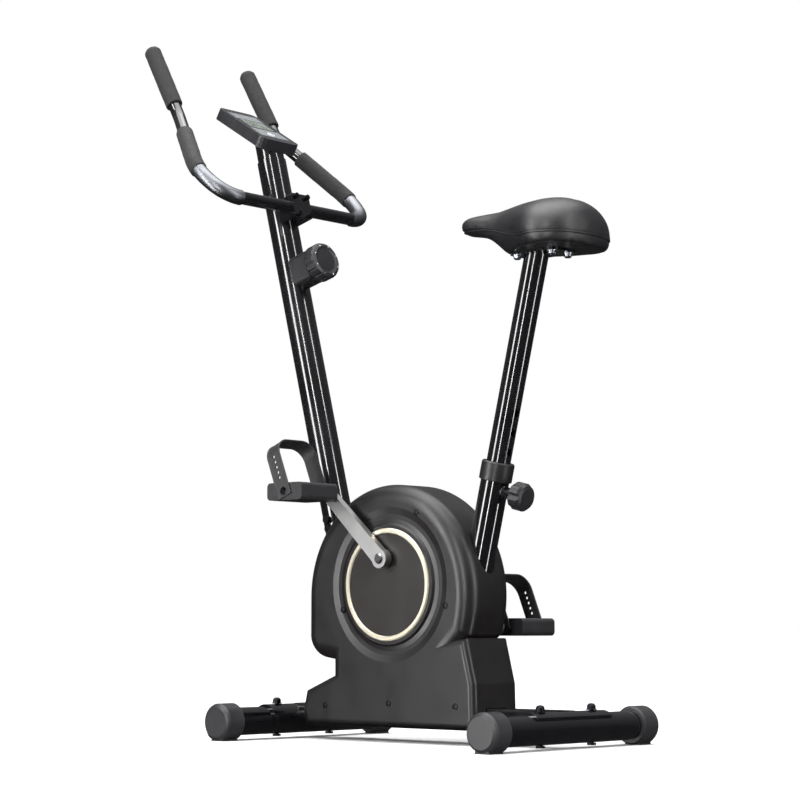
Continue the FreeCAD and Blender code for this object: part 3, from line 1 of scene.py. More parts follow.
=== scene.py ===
# %% [markdown]
# # An upright exercise bike
#
# This notebook dresses the bike's engineering model for a studio picture. Each cell adds one thing:
# a camera, a light, a finish, or a piece that is too soft or too fine for an engineering model, such
# as foam grips or a stitched saddle.
#
# The first cell loads the model.

# %% Load the engineering model
import math

import bmesh
import bpy
from mathutils import Matrix, Vector, noise
from mathutils.bvhtree import BVHTree
from mathutils.kdtree import KDTree


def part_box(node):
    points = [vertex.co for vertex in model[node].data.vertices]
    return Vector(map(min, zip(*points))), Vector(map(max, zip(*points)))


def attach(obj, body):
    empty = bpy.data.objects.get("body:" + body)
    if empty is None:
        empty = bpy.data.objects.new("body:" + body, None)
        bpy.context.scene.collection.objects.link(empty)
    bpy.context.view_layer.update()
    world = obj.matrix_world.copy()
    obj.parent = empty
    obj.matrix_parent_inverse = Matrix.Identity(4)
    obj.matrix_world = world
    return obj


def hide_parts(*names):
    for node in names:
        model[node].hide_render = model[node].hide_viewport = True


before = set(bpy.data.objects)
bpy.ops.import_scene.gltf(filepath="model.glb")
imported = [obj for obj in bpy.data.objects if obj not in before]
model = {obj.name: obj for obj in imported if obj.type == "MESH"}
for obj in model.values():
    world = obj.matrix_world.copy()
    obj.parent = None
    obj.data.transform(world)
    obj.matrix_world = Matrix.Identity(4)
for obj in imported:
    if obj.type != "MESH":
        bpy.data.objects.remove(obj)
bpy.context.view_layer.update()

print("parts in the model:", len(model))

# %% [markdown]
# ## Landmarks
#
# Most pieces are set along three lines of the bike: the handlebar post, which leans forward from
# the casing, the seat line, which leans back, and the crank axle across the frame. Each line is
# written once here, as a function that gives the point of the line at a height, so later cells can
# say "on the post, 780 mm up" as a fitter would. The lines could also be measured from the meshes,
# but a lean and a foot are shorter and can't drift.

# %% Lines of the frame
MM = 0.001
UP = Vector((0, 0, 1))
LEFT = Vector((0, 1, 0))
AXLE = Vector((-74.56, 0, 290)) * MM

post_lean = math.radians(14.68)
seat_lean = math.radians(13.93)
post_up = Vector((math.sin(post_lean), 0, math.cos(post_lean)))
post_back = Vector((-math.cos(post_lean), 0, math.sin(post_lean)))
seat_up = Vector((-math.sin(seat_lean), 0, math.cos(seat_lean)))
seat_back = Vector((-math.cos(seat_lean), 0, -math.sin(seat_lean)))


def on_post(height, behind=0.0):
    """The point of the handlebar post's axis at a height, in mm, and a distance behind it."""
    foot = AXLE.x + 69.3 * MM
    point = Vector((foot + math.tan(post_lean) * height * MM, 0, height * MM))
    return point + post_back * (behind * MM)


def on_seat_line(height, behind=0.0):
    """The point of the seat post's axis at a height, in mm, and a distance behind it."""
    foot = AXLE.x - 75.3 * MM
    point = Vector((foot - math.tan(seat_lean) * height * MM, 0, height * MM))
    return point + seat_back * (behind * MM)


print("post at the tension knob:", [round(c, 3) for c in on_post(780)])
print("seat line at its lock knob:", [round(c, 3) for c in on_seat_line(396)])

# %% [markdown]
# ## The camera
#
# A long lens a few metres behind the bike's left side keeps the two posts nearly parallel, as in a
# catalogue picture. The camera stands low, near pedal height, and tips up a little, so the saddle
# shows its underside and the casing its full face. A rotation can be typed as angles, but a
# direction turned into a rotation with `to_track_quat` is easier to check by eye.

# %% Camera
scene = bpy.context.scene
scene.view_settings.view_transform = "Standard"

lens = bpy.data.cameras.new("catalogue_lens")
lens.sensor_width = 36
lens.lens = 98.86
lens.clip_end = 200
camera = bpy.data.objects.new("catalogue_camera", lens)
scene.collection.objects.link(camera)
camera.location = (-2.4564, 2.6265, 0.1797)
turn, tip = math.radians(42.497), math.radians(5.941)
looking = Vector((math.sin(turn) * math.cos(tip), -math.cos(turn) * math.cos(tip), math.sin(tip)))
camera.rotation_euler = looking.to_track_quat("-Z", "Y").to_euler()
scene.camera = camera
print("camera looks along", [round(c, 3) for c in looking])

# %% [markdown]
# ## Node helpers
#
# A finish is a small tree of shader nodes. A few helpers keep each finish short: `linear` turns a
# hex colour, as a paint chart gives it, into the linear numbers that a shader wants, `start_finish`
# opens an empty tree, `add` makes one node with its settings and links, and `finish` closes the tree
# with its output. Positions in a tree
# are the part's own coordinates in metres, so a pattern of 2 mm is a scale of 500 per metre, which
# `per_metre` works out.

# %% Helpers for finishes
def linear(code):
    """An sRGB hex colour, such as #1d1c1e, as linear red, green, blue and alpha."""
    parts = [int(code[i:i + 2], 16) / 255 for i in (1, 3, 5)]
    return [p / 12.92 if p <= 0.04045 else ((p + 0.055) / 1.055) ** 2.4 for p in parts] + [1.0]


def per_metre(size_mm):
    """The texture scale whose pattern repeats about every size_mm."""
    return 1000 / size_mm


def start_finish(name):
    material = bpy.data.materials.new(name)
    material.use_nodes = True
    material.node_tree.nodes.clear()
    return material


def add(material, kind, links=None, **settings):
    """Adds one node. Settings are its options, and links are its inputs: a value or a socket."""
    node = material.node_tree.nodes.new("ShaderNode" + kind)
    for name, value in settings.items():
        setattr(node, name, value)
    for name, value in (links or {}).items():
        if isinstance(value, bpy.types.NodeSocket):
            material.node_tree.links.new(value, node.inputs[name])
        else:
            node.inputs[name].default_value = value
    return node


def finish(material, surface):
    add(material, "OutputMaterial", {"Surface": surface.outputs[0]})
    return material


print("black enamel in linear light:", [round(c, 4) for c in linear("#0c0c0d")[:3]])

# %% [markdown]
# ## The floor and the backdrop
#
# A catalogue picture has no horizon. Here the floor is a wide disc of matt white sheet and a soft
# sun from straight above lights it evenly, so that it meets the white background without a line. The
# background is white only where the camera looks at it: the bike itself sees a dim room, brighter
# overhead, because gloss paint in an all-white room would look grey. A curved wall would also work,
# but it would only be right from one side, and this stage is right from every side.

# %% Floor
floor_mesh = bpy.data.meshes.new("studio_floor")
shape = bmesh.new()
bmesh.ops.create_circle(shape, cap_ends=True, segments=96, radius=30)
shape.to_mesh(floor_mesh)
shape.free()
studio_floor = bpy.data.objects.new("studio_floor", floor_mesh)
scene.collection.objects.link(studio_floor)
studio_floor.visible_glossy = False

# Matt white vinyl sheet: it scatters nearly all light, with a faint mottle from its calendering.
white_sheet = start_finish("matt_white_vinyl_sheet")
place = add(white_sheet, "TexCoord")
mottle = add(white_sheet, "TexNoise", {
    "Vector": place.outputs["Object"], "Scale": per_metre(140), "Detail": 3.0})
tone = add(white_sheet, "MapRange", {"Value": mottle.outputs["Fac"], "To Min": 0.90, "To Max": 0.93})
sheet_colour = add(white_sheet, "CombineColor", {0: tone.outputs[0], 1: tone.outputs[0], 2: tone.outputs[0]})
surface = add(white_sheet, "BsdfPrincipled", {
    "Base Color": sheet_colour.outputs[0], "Roughness": 0.9, "IOR": 1.5, "Specular IOR Level": 0.1})
finish(white_sheet, surface)
floor_mesh.materials.append(white_sheet)
print("floor radius, m:", 30)

# %% Room light
room = bpy.data.worlds.new("pale_studio")
scene.world = room
room.use_nodes = True
room.node_tree.nodes.clear()
seen = add(room, "Background", {"Color": (1, 1, 1, 1), "Strength": 1.0})
way = add(room, "TexCoord")
height = add(room, "SeparateXYZ", {"Vector": way.outputs["Generated"]})
glow = add(room, "MapRange", {
    "Value": height.outputs["Z"], "From Min": 0.0, "From Max": 1.0, "To Min": 0.03, "To Max": 0.30})
dim = add(room, "Background", {"Color": (0.96, 0.97, 1, 1), "Strength": glow.outputs[0]})
ray = add(room, "LightPath")
both = add(room, "MixShader", {0: ray.outputs["Is Camera Ray"], 1: dim.outputs[0], 2: seen.outputs[0]})
add(room, "OutputWorld", {"Surface": both.outputs[0]})
print("room light: dim and brighter overhead, white behind the bike")

# %% [markdown]
# ## Softboxes
#
# A round black tube shows a lamp as a thin bright line, and the line is as long as the lamp is tall.
# That is why a studio lights gloss tubes with tall strip boxes. Three strips stand round
# the camera: a wide one far to the left, which also lights the casing's face, a narrow one just left
# of the camera, and one to the right for the second line on each post. A sun with a very wide disc
# does the floor, and one box overhead does the tops. The tubes lean, so they mirror what is high
# above or below the floor: the strips are over 5 m tall, and the floor is left out of glossy
# reflections, so that enamel stays black where it would mirror a white floor.

# %% Lamps
def softbox(name, bearing, distance, height, wide, tall, power):
    """A rectangular lamp at a bearing from the camera's side, in degrees to its right, aimed at the bike."""
    middle = Vector((0, 0, 0.55))
    back = Vector((-looking.x, -looking.y, 0)).normalized()
    right = Vector((looking.y, -looking.x, 0)).normalized()
    angle = math.radians(bearing)
    spot = (back * math.cos(angle) + right * math.sin(angle)) * distance + UP * height
    lamp = bpy.data.lights.new(name, "AREA")
    lamp.shape = "RECTANGLE"
    lamp.size, lamp.size_y = wide, tall
    lamp.energy = power
    holder = bpy.data.objects.new(name, lamp)
    scene.collection.objects.link(holder)
    holder.location = spot
    flat = Vector((middle.x - spot.x, middle.y - spot.y, 0))
    holder.rotation_euler = flat.to_track_quat("-Z", "Y").to_euler()
    holder.visible_camera = False
    return holder


softbox("wide_strip_left", -62, 3.0, 1.0, 0.6, 5.6, 170)
softbox("thin_strip_centre", -16, 4.6, 1.0, 0.28, 6.4, 190)
softbox("strip_right", 58, 3.2, 1.0, 0.28, 5.6, 90)

overhead = bpy.data.lights.new("overhead_box", "AREA")
overhead.shape = "RECTANGLE"
overhead.size, overhead.size_y = 1.6, 1.6
overhead.energy = 16
overhead_box = bpy.data.objects.new("overhead_box", overhead)
scene.collection.objects.link(overhead_box)
overhead_box.location = (0, 0.3, 2.6)
overhead_box.visible_camera = False

sky = bpy.data.lights.new("wide_sun", "SUN")
sky.energy = 3.5
sky.angle = math.radians(75)
wide_sun = bpy.data.objects.new("wide_sun", sky)
scene.collection.objects.link(wide_sun)
wide_sun.location = (0, 0, 4)

# %% [markdown]
# ## Black stoving enamel
#
# The frame, the posts, the bars and the stabilisers are steel tube, sprayed and baked. Baked enamel
# is a hard, nearly black film whose surface levels out but keeps a faint orange peel, a swell of two
# or three millimetres that makes a straight reflection tremble. The film is thin on edges, so handling
# polishes it there, which is not drawn here. Two noises draw the rest: a fine one bends the surface,
# and a broad one varies the gloss and the tone where hands and cloths have been. A clear coat lobe
# gives the hard top reflection.

# %% Black stoving enamel
stoving_enamel = start_finish("black_stoving_enamel")
place = add(stoving_enamel, "TexCoord")
handled = add(stoving_enamel, "TexNoise", {
    "Vector": place.outputs["Object"], "Scale": per_metre(60), "Detail": 4.0})
gloss = add(stoving_enamel, "MapRange", {
    "Value": handled.outputs["Fac"], "From Min": 0.35, "From Max": 0.7, "To Min": 0.11, "To Max": 0.21})
tint = add(stoving_enamel, "Mix", {
    0: handled.outputs["Fac"], 6: linear("#08080a"), 7: linear("#121214")}, data_type="RGBA")
# orange peel about 2.4 mm across and a few hundredths deep
peel = add(stoving_enamel, "TexNoise", {
    "Vector": place.outputs["Object"], "Scale": per_metre(2.4), "Detail": 1.0})
rippled = add(stoving_enamel, "Bump", {"Height": peel.outputs["Fac"], "Strength": 0.35, "Distance": 0.00006})
surface = add(stoving_enamel, "BsdfPrincipled", {
    "Base Color": tint.outputs[2], "Roughness": gloss.outputs[0], "IOR": 1.52, "Normal": rippled.outputs[0],
    "Coat Weight": 0.6, "Coat Roughness": 0.05, "Coat IOR": 1.5})
finish(stoving_enamel, surface)
print("orange peel repeats per metre:", round(per_metre(2.4)))

# %% [markdown]
# ## Moulded plastics
#
# The casing, end caps, pedals, knobs and clamp are injection moulded, and every one takes the
# texture of its steel mould: a spark-eroded grain of small pits. What differs is the plastic and
# the depth of the grain. ABS on the casing is finely grained and satin, polypropylene on the end
# caps is waxy and softer, and nylon on the pedals is dull and coarse. So one function makes the
# family, from the plastic's colour, its gloss and its grain. Thick mouldings also sink a little as
# they cool, which a broad, very shallow swell shows in the reflections.

# %% Moulded plastics
def moulding(name, deep, worn, low_gloss, high_gloss, grain_mm, grain_depth_mm, coat=0.0):
    """A moulded plastic: its colour where deep and where rubbed, its roughness range and its grain."""
    plastic = start_finish(name)
    place = add(plastic, "TexCoord")
    rubbed = add(plastic, "TexNoise", {
        "Vector": place.outputs["Object"], "Scale": per_metre(45), "Detail": 5.0, "Roughness": 0.6})
    colour = add(plastic, "Mix", {
        0: rubbed.outputs["Fac"], 6: linear(deep), 7: linear(worn)}, data_type="RGBA")
    gloss = add(plastic, "MapRange", {
        "Value": rubbed.outputs["Fac"], "From Min": 0.3, "From Max": 0.7,
        "To Min": low_gloss, "To Max": high_gloss})
    pits = add(plastic, "TexVoronoi", {"Vector": place.outputs["Object"], "Scale": per_metre(grain_mm)})
    grain = add(plastic, "Bump", {
        "Height": pits.outputs["Distance"], "Strength": 0.4, "Distance": grain_depth_mm * MM})
    sink = add(plastic, "TexNoise", {
        "Vector": place.outputs["Object"], "Scale": per_metre(55), "Detail": 0.0})
    swell = add(plastic, "Bump", {
        "Height": sink.outputs["Fac"], "Strength": 0.3, "Distance": 0.0006, "Normal": grain.outputs[0]})
    surface = add(plastic, "BsdfPrincipled", {
        "Base Color": colour.outputs[2], "Roughness": gloss.outputs[0], "IOR": 1.5,
        "Normal": swell.outputs[0],
        "Coat Weight": coat, "Coat Roughness": 0.25})
    return finish(plastic, surface)


# grains under half a millimetre are drawn at 0.7 mm or more, so that they show
casing_abs = moulding("satin_charcoal_abs", "#0f0d0e", "#171415", 0.34, 0.43, 0.7, 0.03)
disc_abs = moulding("dark_brown_abs", "#120d0d", "#1b1413", 0.34, 0.43, 0.8, 0.03)
cap_polypropylene = moulding("charcoal_polypropylene", "#1d1d1f", "#2b2b2d", 0.36, 0.50, 0.9, 0.05)
roller_nylon = moulding("black_roller_nylon", "#161617", "#2a2a2a", 0.45, 0.60, 0.8, 0.04)
pedal_nylon = moulding("black_pedal_nylon", "#151517", "#232326", 0.42, 0.56, 1.0, 0.08)
clamp_nylon = moulding("black_glass_filled_nylon", "#131315", "#1e1e20", 0.34, 0.46, 0.8, 0.05)
knob_abs = moulding("black_knob_abs", "#141416", "#222225", 0.32, 0.44, 0.8, 0.05)
console_abs = moulding("graphite_console_abs", "#18181b", "#232327", 0.34, 0.44, 0.7, 0.03)
pulley_nylon = moulding("dark_pulley_nylon", "#202023", "#2c2c30", 0.45, 0.60, 1.0, 0.05)
button_abs = moulding("light_grey_button_abs", "#a9abae", "#c3c5c8", 0.32, 0.40, 0.7, 0.02)
sheath_pvc = moulding("black_cable_pvc", "#101011", "#1b1b1c", 0.35, 0.45, 0.9, 0.03)
print("moulded plastics:", 11)

# %% [markdown]
# ## Bare and plated metals
#
# A few parts shine: the crank arms, the bolts, the pulse plates and the works inside the casing.
# Each metal keeps its own colour and the mark of the tool that made it. Turned parts carry rings,
# ground ones fine random scratches, plated ones a soft even bloom. A stretched noise draws
# scratches: squeezed along one axis it becomes long thin lines. The metals here share one function,
# which takes the direction of the scratches as three scales, one along each axis.

# %% Metals
def metal(name, dark, light, low_gloss, high_gloss, scratch_scales, scratch_depth_mm):
    """A bare or plated metal: two tones, its roughness range, and scratches stretched along an axis."""
    made = start_finish(name)
    place = add(made, "TexCoord")
    squeeze = add(made, "Mapping", {"Vector": place.outputs["Object"], "Scale": scratch_scales})
    scratch = add(made, "TexNoise", {
        "Vector": squeeze.outputs[0], "Scale": 1.0, "Detail": 6.0, "Roughness": 0.7})
    bloom = add(made, "TexNoise", {"Vector": place.outputs["Object"], "Scale": per_metre(18), "Detail": 3.0})
    colour = add(made, "Mix", {0: bloom.outputs["Fac"], 6: linear(dark), 7: linear(light)}, data_type="RGBA")
    gloss = add(made, "MapRange", {
        "Value": scratch.outputs["Fac"], "From Min": 0.3, "From Max": 0.7,
        "To Min": low_gloss, "To Max": high_gloss})
    score = add(made, "Bump", {
        "Height": scratch.outputs["Fac"], "Strength": 0.3, "Distance": scratch_depth_mm * MM})
    surface = add(made, "BsdfPrincipled", {
        "Base Color": colour.outputs[2], "Metallic": 1.0, "Roughness": gloss.outputs[0],
        "Normal": score.outputs[0]})
    return finish(made, surface)


even = (per_metre(1.5),) * 3
along_bike = (per_metre(40), per_metre(1.2), per_metre(1.2))
across_bike = (per_metre(1.2), per_metre(40), per_metre(1.2))
crank_alloy = metal("satin_polished_alloy", "#a9a9a9", "#c2c1c0", 0.34, 0.42, along_bike, 0.003)
black_zinc = metal("black_passivated_zinc", "#1d1d20", "#2e2e31", 0.30, 0.44, even, 0.02)
zinc_plate = metal("bright_zinc_plate", "#a9adb3", "#c8ccd2", 0.24, 0.38, even, 0.02)
ground_steel = metal("ground_bearing_steel", "#8c8d90", "#adaeb1", 0.18, 0.30, across_bike, 0.02)
pulse_plate = metal("satin_chrome_plate", "#66676b", "#86888c", 0.34, 0.46, across_bike, 0.015)
cast_iron = metal("machined_cast_iron", "#3d3d40", "#5d5d60", 0.35, 0.55, even, 0.05)
carrier_zinc = metal("dull_zinc_plate", "#77797d", "#95979b", 0.38, 0.52, even, 0.03)
magnet_nickel = metal("nickel_plate", "#a39f98", "#bfbab1", 0.22, 0.32, even, 0.01)
spring_steel = metal("oiled_spring_steel", "#4b4c4f", "#66676b", 0.30, 0.40, even, 0.01)
print("metals:", 9)

# %% [markdown]
# ## Champagne trim
#
# The ring on each side of the casing is a moulding with a metallic lacquer: tiny aluminium flakes in
# a pale gold varnish. Flake paint is brighter than plain metal at glancing light and sparkles up
# close. It is a metal base for the flakes, with a small Voronoi pattern that tilts each flake, under
# a clear coat. Real flakes are 0.03 mm, far too fine to show, so here they are half a millimetre.

# %% Champagne lacquer
champagne = start_finish("champagne_metallic_lacquer")
place = add(champagne, "TexCoord")
flakes = add(champagne, "TexVoronoi", {"Vector": place.outputs["Object"], "Scale": per_metre(0.5)})
tilted = add(champagne, "Bump", {"Height": flakes.outputs["Distance"], "Strength": 0.25, "Distance": 0.00003})
cloudy = add(champagne, "TexNoise", {
    "Vector": place.outputs["Object"], "Scale": per_metre(30), "Detail": 2.0})
colour = add(champagne, "Mix", {
    0: cloudy.outputs["Fac"], 6: linear("#e5dcc2"), 7: linear("#f3ecd8")}, data_type="RGBA")
sparkle = add(champagne, "MapRange", {"Value": flakes.outputs["Distance"], "To Min": 0.26, "To Max": 0.40})
surface = add(champagne, "BsdfPrincipled", {
    "Base Color": colour.outputs[2], "Metallic": 0.75, "Roughness": sparkle.outputs[0],
    "Normal": tilted.outputs[0],
    "Coat Weight": 0.5, "Coat Roughness": 0.08})
finish(champagne, surface)
print("flake size drawn, mm:", 0.5)

# %% [markdown]
# ## Rubber, foam and vinyl
#
# The soft finishes scatter light in their surface instead of mirroring it. Strap rubber is smooth
# with a bloom of wax. Grip foam is nitrile rubber blown with gas: it is full of pores, and its
# skinless surface looks velvety, so it gets a little sheen. The saddle is PVC sheet embossed with a
# leather grain, which is a net of small raised cells between creases. Its colour is painted darker in
# the creases, as painted shade, and lighter on the cells, as a painted sheen.

# %% Strap rubber and belt rubber
strap_rubber = start_finish("black_strap_rubber")
place = add(strap_rubber, "TexCoord")
wax = add(strap_rubber, "TexNoise", {
    "Vector": place.outputs["Object"], "Scale": per_metre(14), "Detail": 5.0})
colour = add(strap_rubber, "Mix", {
    0: wax.outputs["Fac"], 6: linear("#161617"), 7: linear("#29292b")}, data_type="RGBA")
dull = add(strap_rubber, "MapRange", {"Value": wax.outputs["Fac"], "To Min": 0.42, "To Max": 0.62})
skin = add(strap_rubber, "TexNoise", {
    "Vector": place.outputs["Object"], "Scale": per_metre(0.8), "Detail": 2.0})
rough_skin = add(strap_rubber, "Bump", {"Height": skin.outputs["Fac"], "Strength": 0.4, "Distance": 0.00005})
surface = add(strap_rubber, "BsdfPrincipled", {
    "Base Color": colour.outputs[2], "Roughness": dull.outputs[0], "IOR": 1.52,
    "Normal": rough_skin.outputs[0]})
finish(strap_rubber, surface)
print("strap rubber made")

# %% Grip foam
grip_foam = start_finish("black_nitrile_foam")
place = add(grip_foam, "TexCoord")
# pores of blown nitrile rubber are about 0.3 mm, drawn at 1.1 mm so that they show
pores = add(grip_foam, "TexVoronoi", {
    "Vector": place.outputs["Object"], "Scale": per_metre(1.1), "Randomness": 1.0})
matted = add(grip_foam, "TexNoise", {"Vector": place.outputs["Object"], "Scale": per_metre(9), "Detail": 5.0})
colour = add(grip_foam, "Mix", {
    0: matted.outputs["Fac"], 6: linear("#0b0b0c"), 7: linear("#161618")}, data_type="RGBA")
pitted = add(grip_foam, "Bump", {"Height": pores.outputs["Distance"], "Strength": 0.8, "Distance": 0.0002})
dull = add(grip_foam, "MapRange", {"Value": matted.outputs["Fac"], "To Min": 0.62, "To Max": 0.80})
surface = add(grip_foam, "BsdfPrincipled", {
    "Base Color": colour.outputs[2], "Roughness": dull.outputs[0], "IOR": 1.48, "Normal": pitted.outputs[0],
    "Sheen Weight": 0.06, "Sheen Roughness": 0.5})
finish(grip_foam, surface)
print("pore size drawn, mm:", 1.1)

# %% Saddle vinyl
saddle_vinyl = start_finish("black_grained_vinyl")
place = add(saddle_vinyl, "TexCoord")
bent = add(saddle_vinyl, "TexNoise", {
    "Vector": place.outputs["Object"], "Scale": per_metre(7), "Detail": 2.0})
wavy = add(saddle_vinyl, "Mix", {
    0: 0.004, 4: place.outputs["Object"], 5: bent.outputs["Color"]}, data_type="VECTOR")
# leather grain cells are about 1 mm, drawn at 1.6 mm
cells = add(saddle_vinyl, "TexVoronoi", {
    "Vector": wavy.outputs[1], "Scale": per_metre(1.6)}, feature="DISTANCE_TO_EDGE")
crease_and_painted_shade = add(saddle_vinyl, "MapRange", {
    "Value": cells.outputs["Distance"], "From Min": 0.0, "From Max": 0.22})
embossed = add(saddle_vinyl, "Bump", {"Height": crease_and_painted_shade.outputs[0], "Strength": 0.55, "Distance": 0.00018})
polished = add(saddle_vinyl, "TexNoise", {
    "Vector": place.outputs["Object"], "Scale": per_metre(50), "Detail": 3.0})
wrinkles = add(saddle_vinyl, "Bump", {
    "Height": polished.outputs["Fac"], "Strength": 0.25, "Distance": 0.0012, "Normal": embossed.outputs[0]})
# painted shade and painted sheen: the colour is darker in the creases of the grain and lighter on its cells
colour = add(saddle_vinyl, "Mix", {
    0: crease_and_painted_shade.outputs[0], 6: linear("#0d0d0f"), 7: linear("#1b1a1d")}, data_type="RGBA")
shine = add(saddle_vinyl, "MapRange", {
    "Value": polished.outputs["Fac"], "From Min": 0.3, "From Max": 0.7, "To Min": 0.34, "To Max": 0.48})
surface = add(saddle_vinyl, "BsdfPrincipled", {
    "Base Color": colour.outputs[2], "Roughness": shine.outputs[0], "IOR": 1.53,
    "Normal": wrinkles.outputs[0],
    "Coat Weight": 0.15, "Coat Roughness": 0.3})
finish(saddle_vinyl, surface)
print("leather grain cell drawn, mm:", 1.6)

# %% [markdown]
# ## Console window
#
# The console has a clear acrylic window, and behind it a silver-grey film that frames the display.
# The window is one part in the model, so it takes the film's colour under a hard clear coat, with a
# few hair scratches. A true layer of clear acrylic would need a second part under it that no one
# would see.

# %% Acrylic window
window_acrylic = start_finish("silver_backed_acrylic")
place = add(window_acrylic, "TexCoord")
brushed = add(window_acrylic, "Mapping", {
    "Vector": place.outputs["Object"], "Scale": (per_metre(1), per_metre(60), per_metre(1))})
hairline = add(window_acrylic, "TexNoise", {"Vector": brushed.outputs[0], "Scale": 1.0, "Detail": 4.0})
colour = add(window_acrylic, "Mix", {
    0: hairline.outputs["Fac"], 6: linear("#8f9396"), 7: linear("#b3b7ba")}, data_type="RGBA")
shine = add(window_acrylic, "MapRange", {"Value": hairline.outputs["Fac"], "To Min": 0.10, "To Max": 0.18})
scratched = add(window_acrylic, "Bump", {
    "Height": hairline.outputs["Fac"], "Strength": 0.1, "Distance": 0.00002})
surface = add(window_acrylic, "BsdfPrincipled", {
    "Base Color": colour.outputs[2], "Roughness": shine.outputs[0], "IOR": 1.49,
    "Normal": scratched.outputs[0],
    "Coat Weight": 1.0, "Coat Roughness": 0.03})
finish(window_acrylic, surface)
print("window ready")

# %% [markdown]
# ## Dressing the model
#
# Every part of the model already knows its material slot, so one table of slots dresses the whole
# frame. The soft parts get a finish too, although pieces further down stand in for them, so that
# nothing is ever seen bare.

# %% Dress the parts
finishes = {
    "black_enamel": stoving_enamel, "cap_plastic": cap_polypropylene, "roller_plastic": roller_nylon,
    "casing_plastic": casing_abs, "champagne_trim": champagne, "disc_plastic": disc_abs,
    "zinc_steel": zinc_plate, "black_zinc": black_zinc,
    "bearing_steel": ground_steel, "crank_silver": crank_alloy,
    "pulley_plastic": pulley_nylon, "belt_rubber": strap_rubber, "cast_flywheel": cast_iron,
    "carrier_steel": carrier_zinc, "magnet_nickel": magnet_nickel, "spring_wire": spring_steel,
    "cable_sheath": sheath_pvc, "pedal_plastic": pedal_nylon, "strap_rubber": strap_rubber,
    "moulded_black": clamp_nylon, "knob_plastic": knob_abs, "grip_foam": grip_foam,
    "sensor_metal": pulse_plate, "console_plastic": console_abs, "console_glass": window_acrylic,
    "button_plastic": button_abs, "saddle_vinyl": saddle_vinyl,
}
dressed = 0
for part in model.values():
    for holder in part.material_slots:
        holder.material = finishes[holder.material.name.split(".")[0]]
        dressed += 1
print("material slots dressed:", dressed)

# %% [markdown]
# ## Making and fixing a piece
#
# The pieces that follow are made of mesh code. Each one is added to the scene, given its finish and
# the slot it takes that finish from, and set to ride on the body that carries it, so `fit` does all
# of this in one call. `lathe` turns a profile round an axis, as caps and pegs are really made, and
# `tube` draws a rod of any width along a line of points, for piping, stitches and weld beads. A
# curve object with a bevel would draw the same rod, but a mesh can also be rippled and counted.

# %% Helpers for pieces
def fit(name, mesh, body, material, smooth=True):
    """Adds a piece to the scene, dressed and riding on its body."""
    made = bpy.data.objects.new(name, mesh)
    scene.collection.objects.link(made)
    mesh.materials.clear()
    mesh.materials.append(material)
    for face in mesh.polygons:
        face.use_smooth = smooth
    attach(made, body)
    return made


def to_mesh(name, shape):
    bmesh.ops.remove_doubles(shape, verts=shape.verts, dist=1e-6)
    bmesh.ops.recalc_face_normals(shape, faces=shape.faces)
    mesh = bpy.data.meshes.new(name)
    shape.to_mesh(mesh)
    shape.free()
    return mesh


def lathe(shape, profile, base, axis, steps=48):
    """Turns a profile of (radius, height) points, in mm, round an axis through base."""
    axis = Vector(axis).normalized()
    side = axis.orthogonal().normalized()
    other = axis.cross(side)
    rings = []
    for radius, rise in profile:
        ring = []
        for step in range(steps):
            angle = math.tau * step / steps
            out = side * math.cos(angle) + other * math.sin(angle)
            ring.append(shape.verts.new(base + axis * rise * MM + out * radius * MM))
        rings.append(ring)
    for low, high in zip(rings, rings[1:]):
        for step in range(steps):
            after = (step + 1) % steps
            shape.faces.new((low[step], low[after], high[after], high[step]))
    shape.faces.new(rings[0])
    shape.faces.new(rings[-1])


def tube(shape, points, radii, closed=False, sides=12):
    """A rod along points, with its own radius at each, in metres."""
    count = len(points)
    rings = []
    side = None
    for index, point in enumerate(points):
        before = points[index - 1] if index or closed else point
        after = points[(index + 1) % count] if index < count - 1 or closed else point
        along = (after - before).normalized()
        side = along.orthogonal() if side is None else side - along * side.dot(along)
        side.normalize()
        other = along.cross(side)
        ring = []
        for step in range(sides):
            angle = math.tau * step / sides
            out = side * math.cos(angle) + other * math.sin(angle)
            ring.append(shape.verts.new(point + out * radii[index]))
        rings.append(ring)
    pairs = list(zip(rings, rings[1:])) + ([(rings[-1], rings[0])] if closed else [])
    for low, high in pairs:
        for step in range(sides):
            after = (step + 1) % sides
            shape.faces.new((low[step], low[after], high[after], high[step]))
    if not closed:
        shape.faces.new(rings[0])
        shape.faces.new(rings[-1])


print("helpers: fit, lathe, tube")

# %% [markdown]
# ## The saddle
#
# A saddle like this is a foam bun under a vinyl cover that is pulled tight over a plastic pan. The
# foam pushes outward and the cover holds it, so the sides bulge a little and the edge over the pan
# stays crisp. The model has the bun as a hard loft. Here it is copied, made slightly smaller, given
# an even mesh of 4 mm by a voxel remesh, and blown up as cloth with air in it, with the rim that is
# glued to the pan held still. Sculpting by hand would also give a bun, but the swelling puts the
# fullness where a real stuffed cover has it. The movement is capped, so that the bun stays the size
# that it is in the model.

# %% A welded, evenly meshed copy of a soft part
def soft_copy(name, part, voxel_mm):
    """A part's shape as one closed skin of even squares."""
    shape = bmesh.new()
    shape.from_mesh(model[part].data)
    bmesh.ops.remove_doubles(shape, verts=shape.verts, dist=2e-5)
    rough = to_mesh(name + "_rough", shape)
    holder = bpy.data.objects.new(name + "_rough", rough)
    scene.collection.objects.link(holder)
    remesh = holder.modifiers.new("even_squares", "REMESH")
    remesh.mode = "VOXEL"
    remesh.voxel_size = voxel_mm * MM
    relax = holder.modifiers.new("relaxed", "SMOOTH")
    relax.factor, relax.iterations = 0.5, 3
    even_mesh = settled(holder)
    bpy.data.objects.remove(holder)
    return even_mesh


def settled(holder):
    """The mesh of an object with its modifiers worked in."""
    graph = bpy.context.evaluated_depsgraph_get()
    graph.update()
    return bpy.data.meshes.new_from_object(holder.evaluated_get(graph))


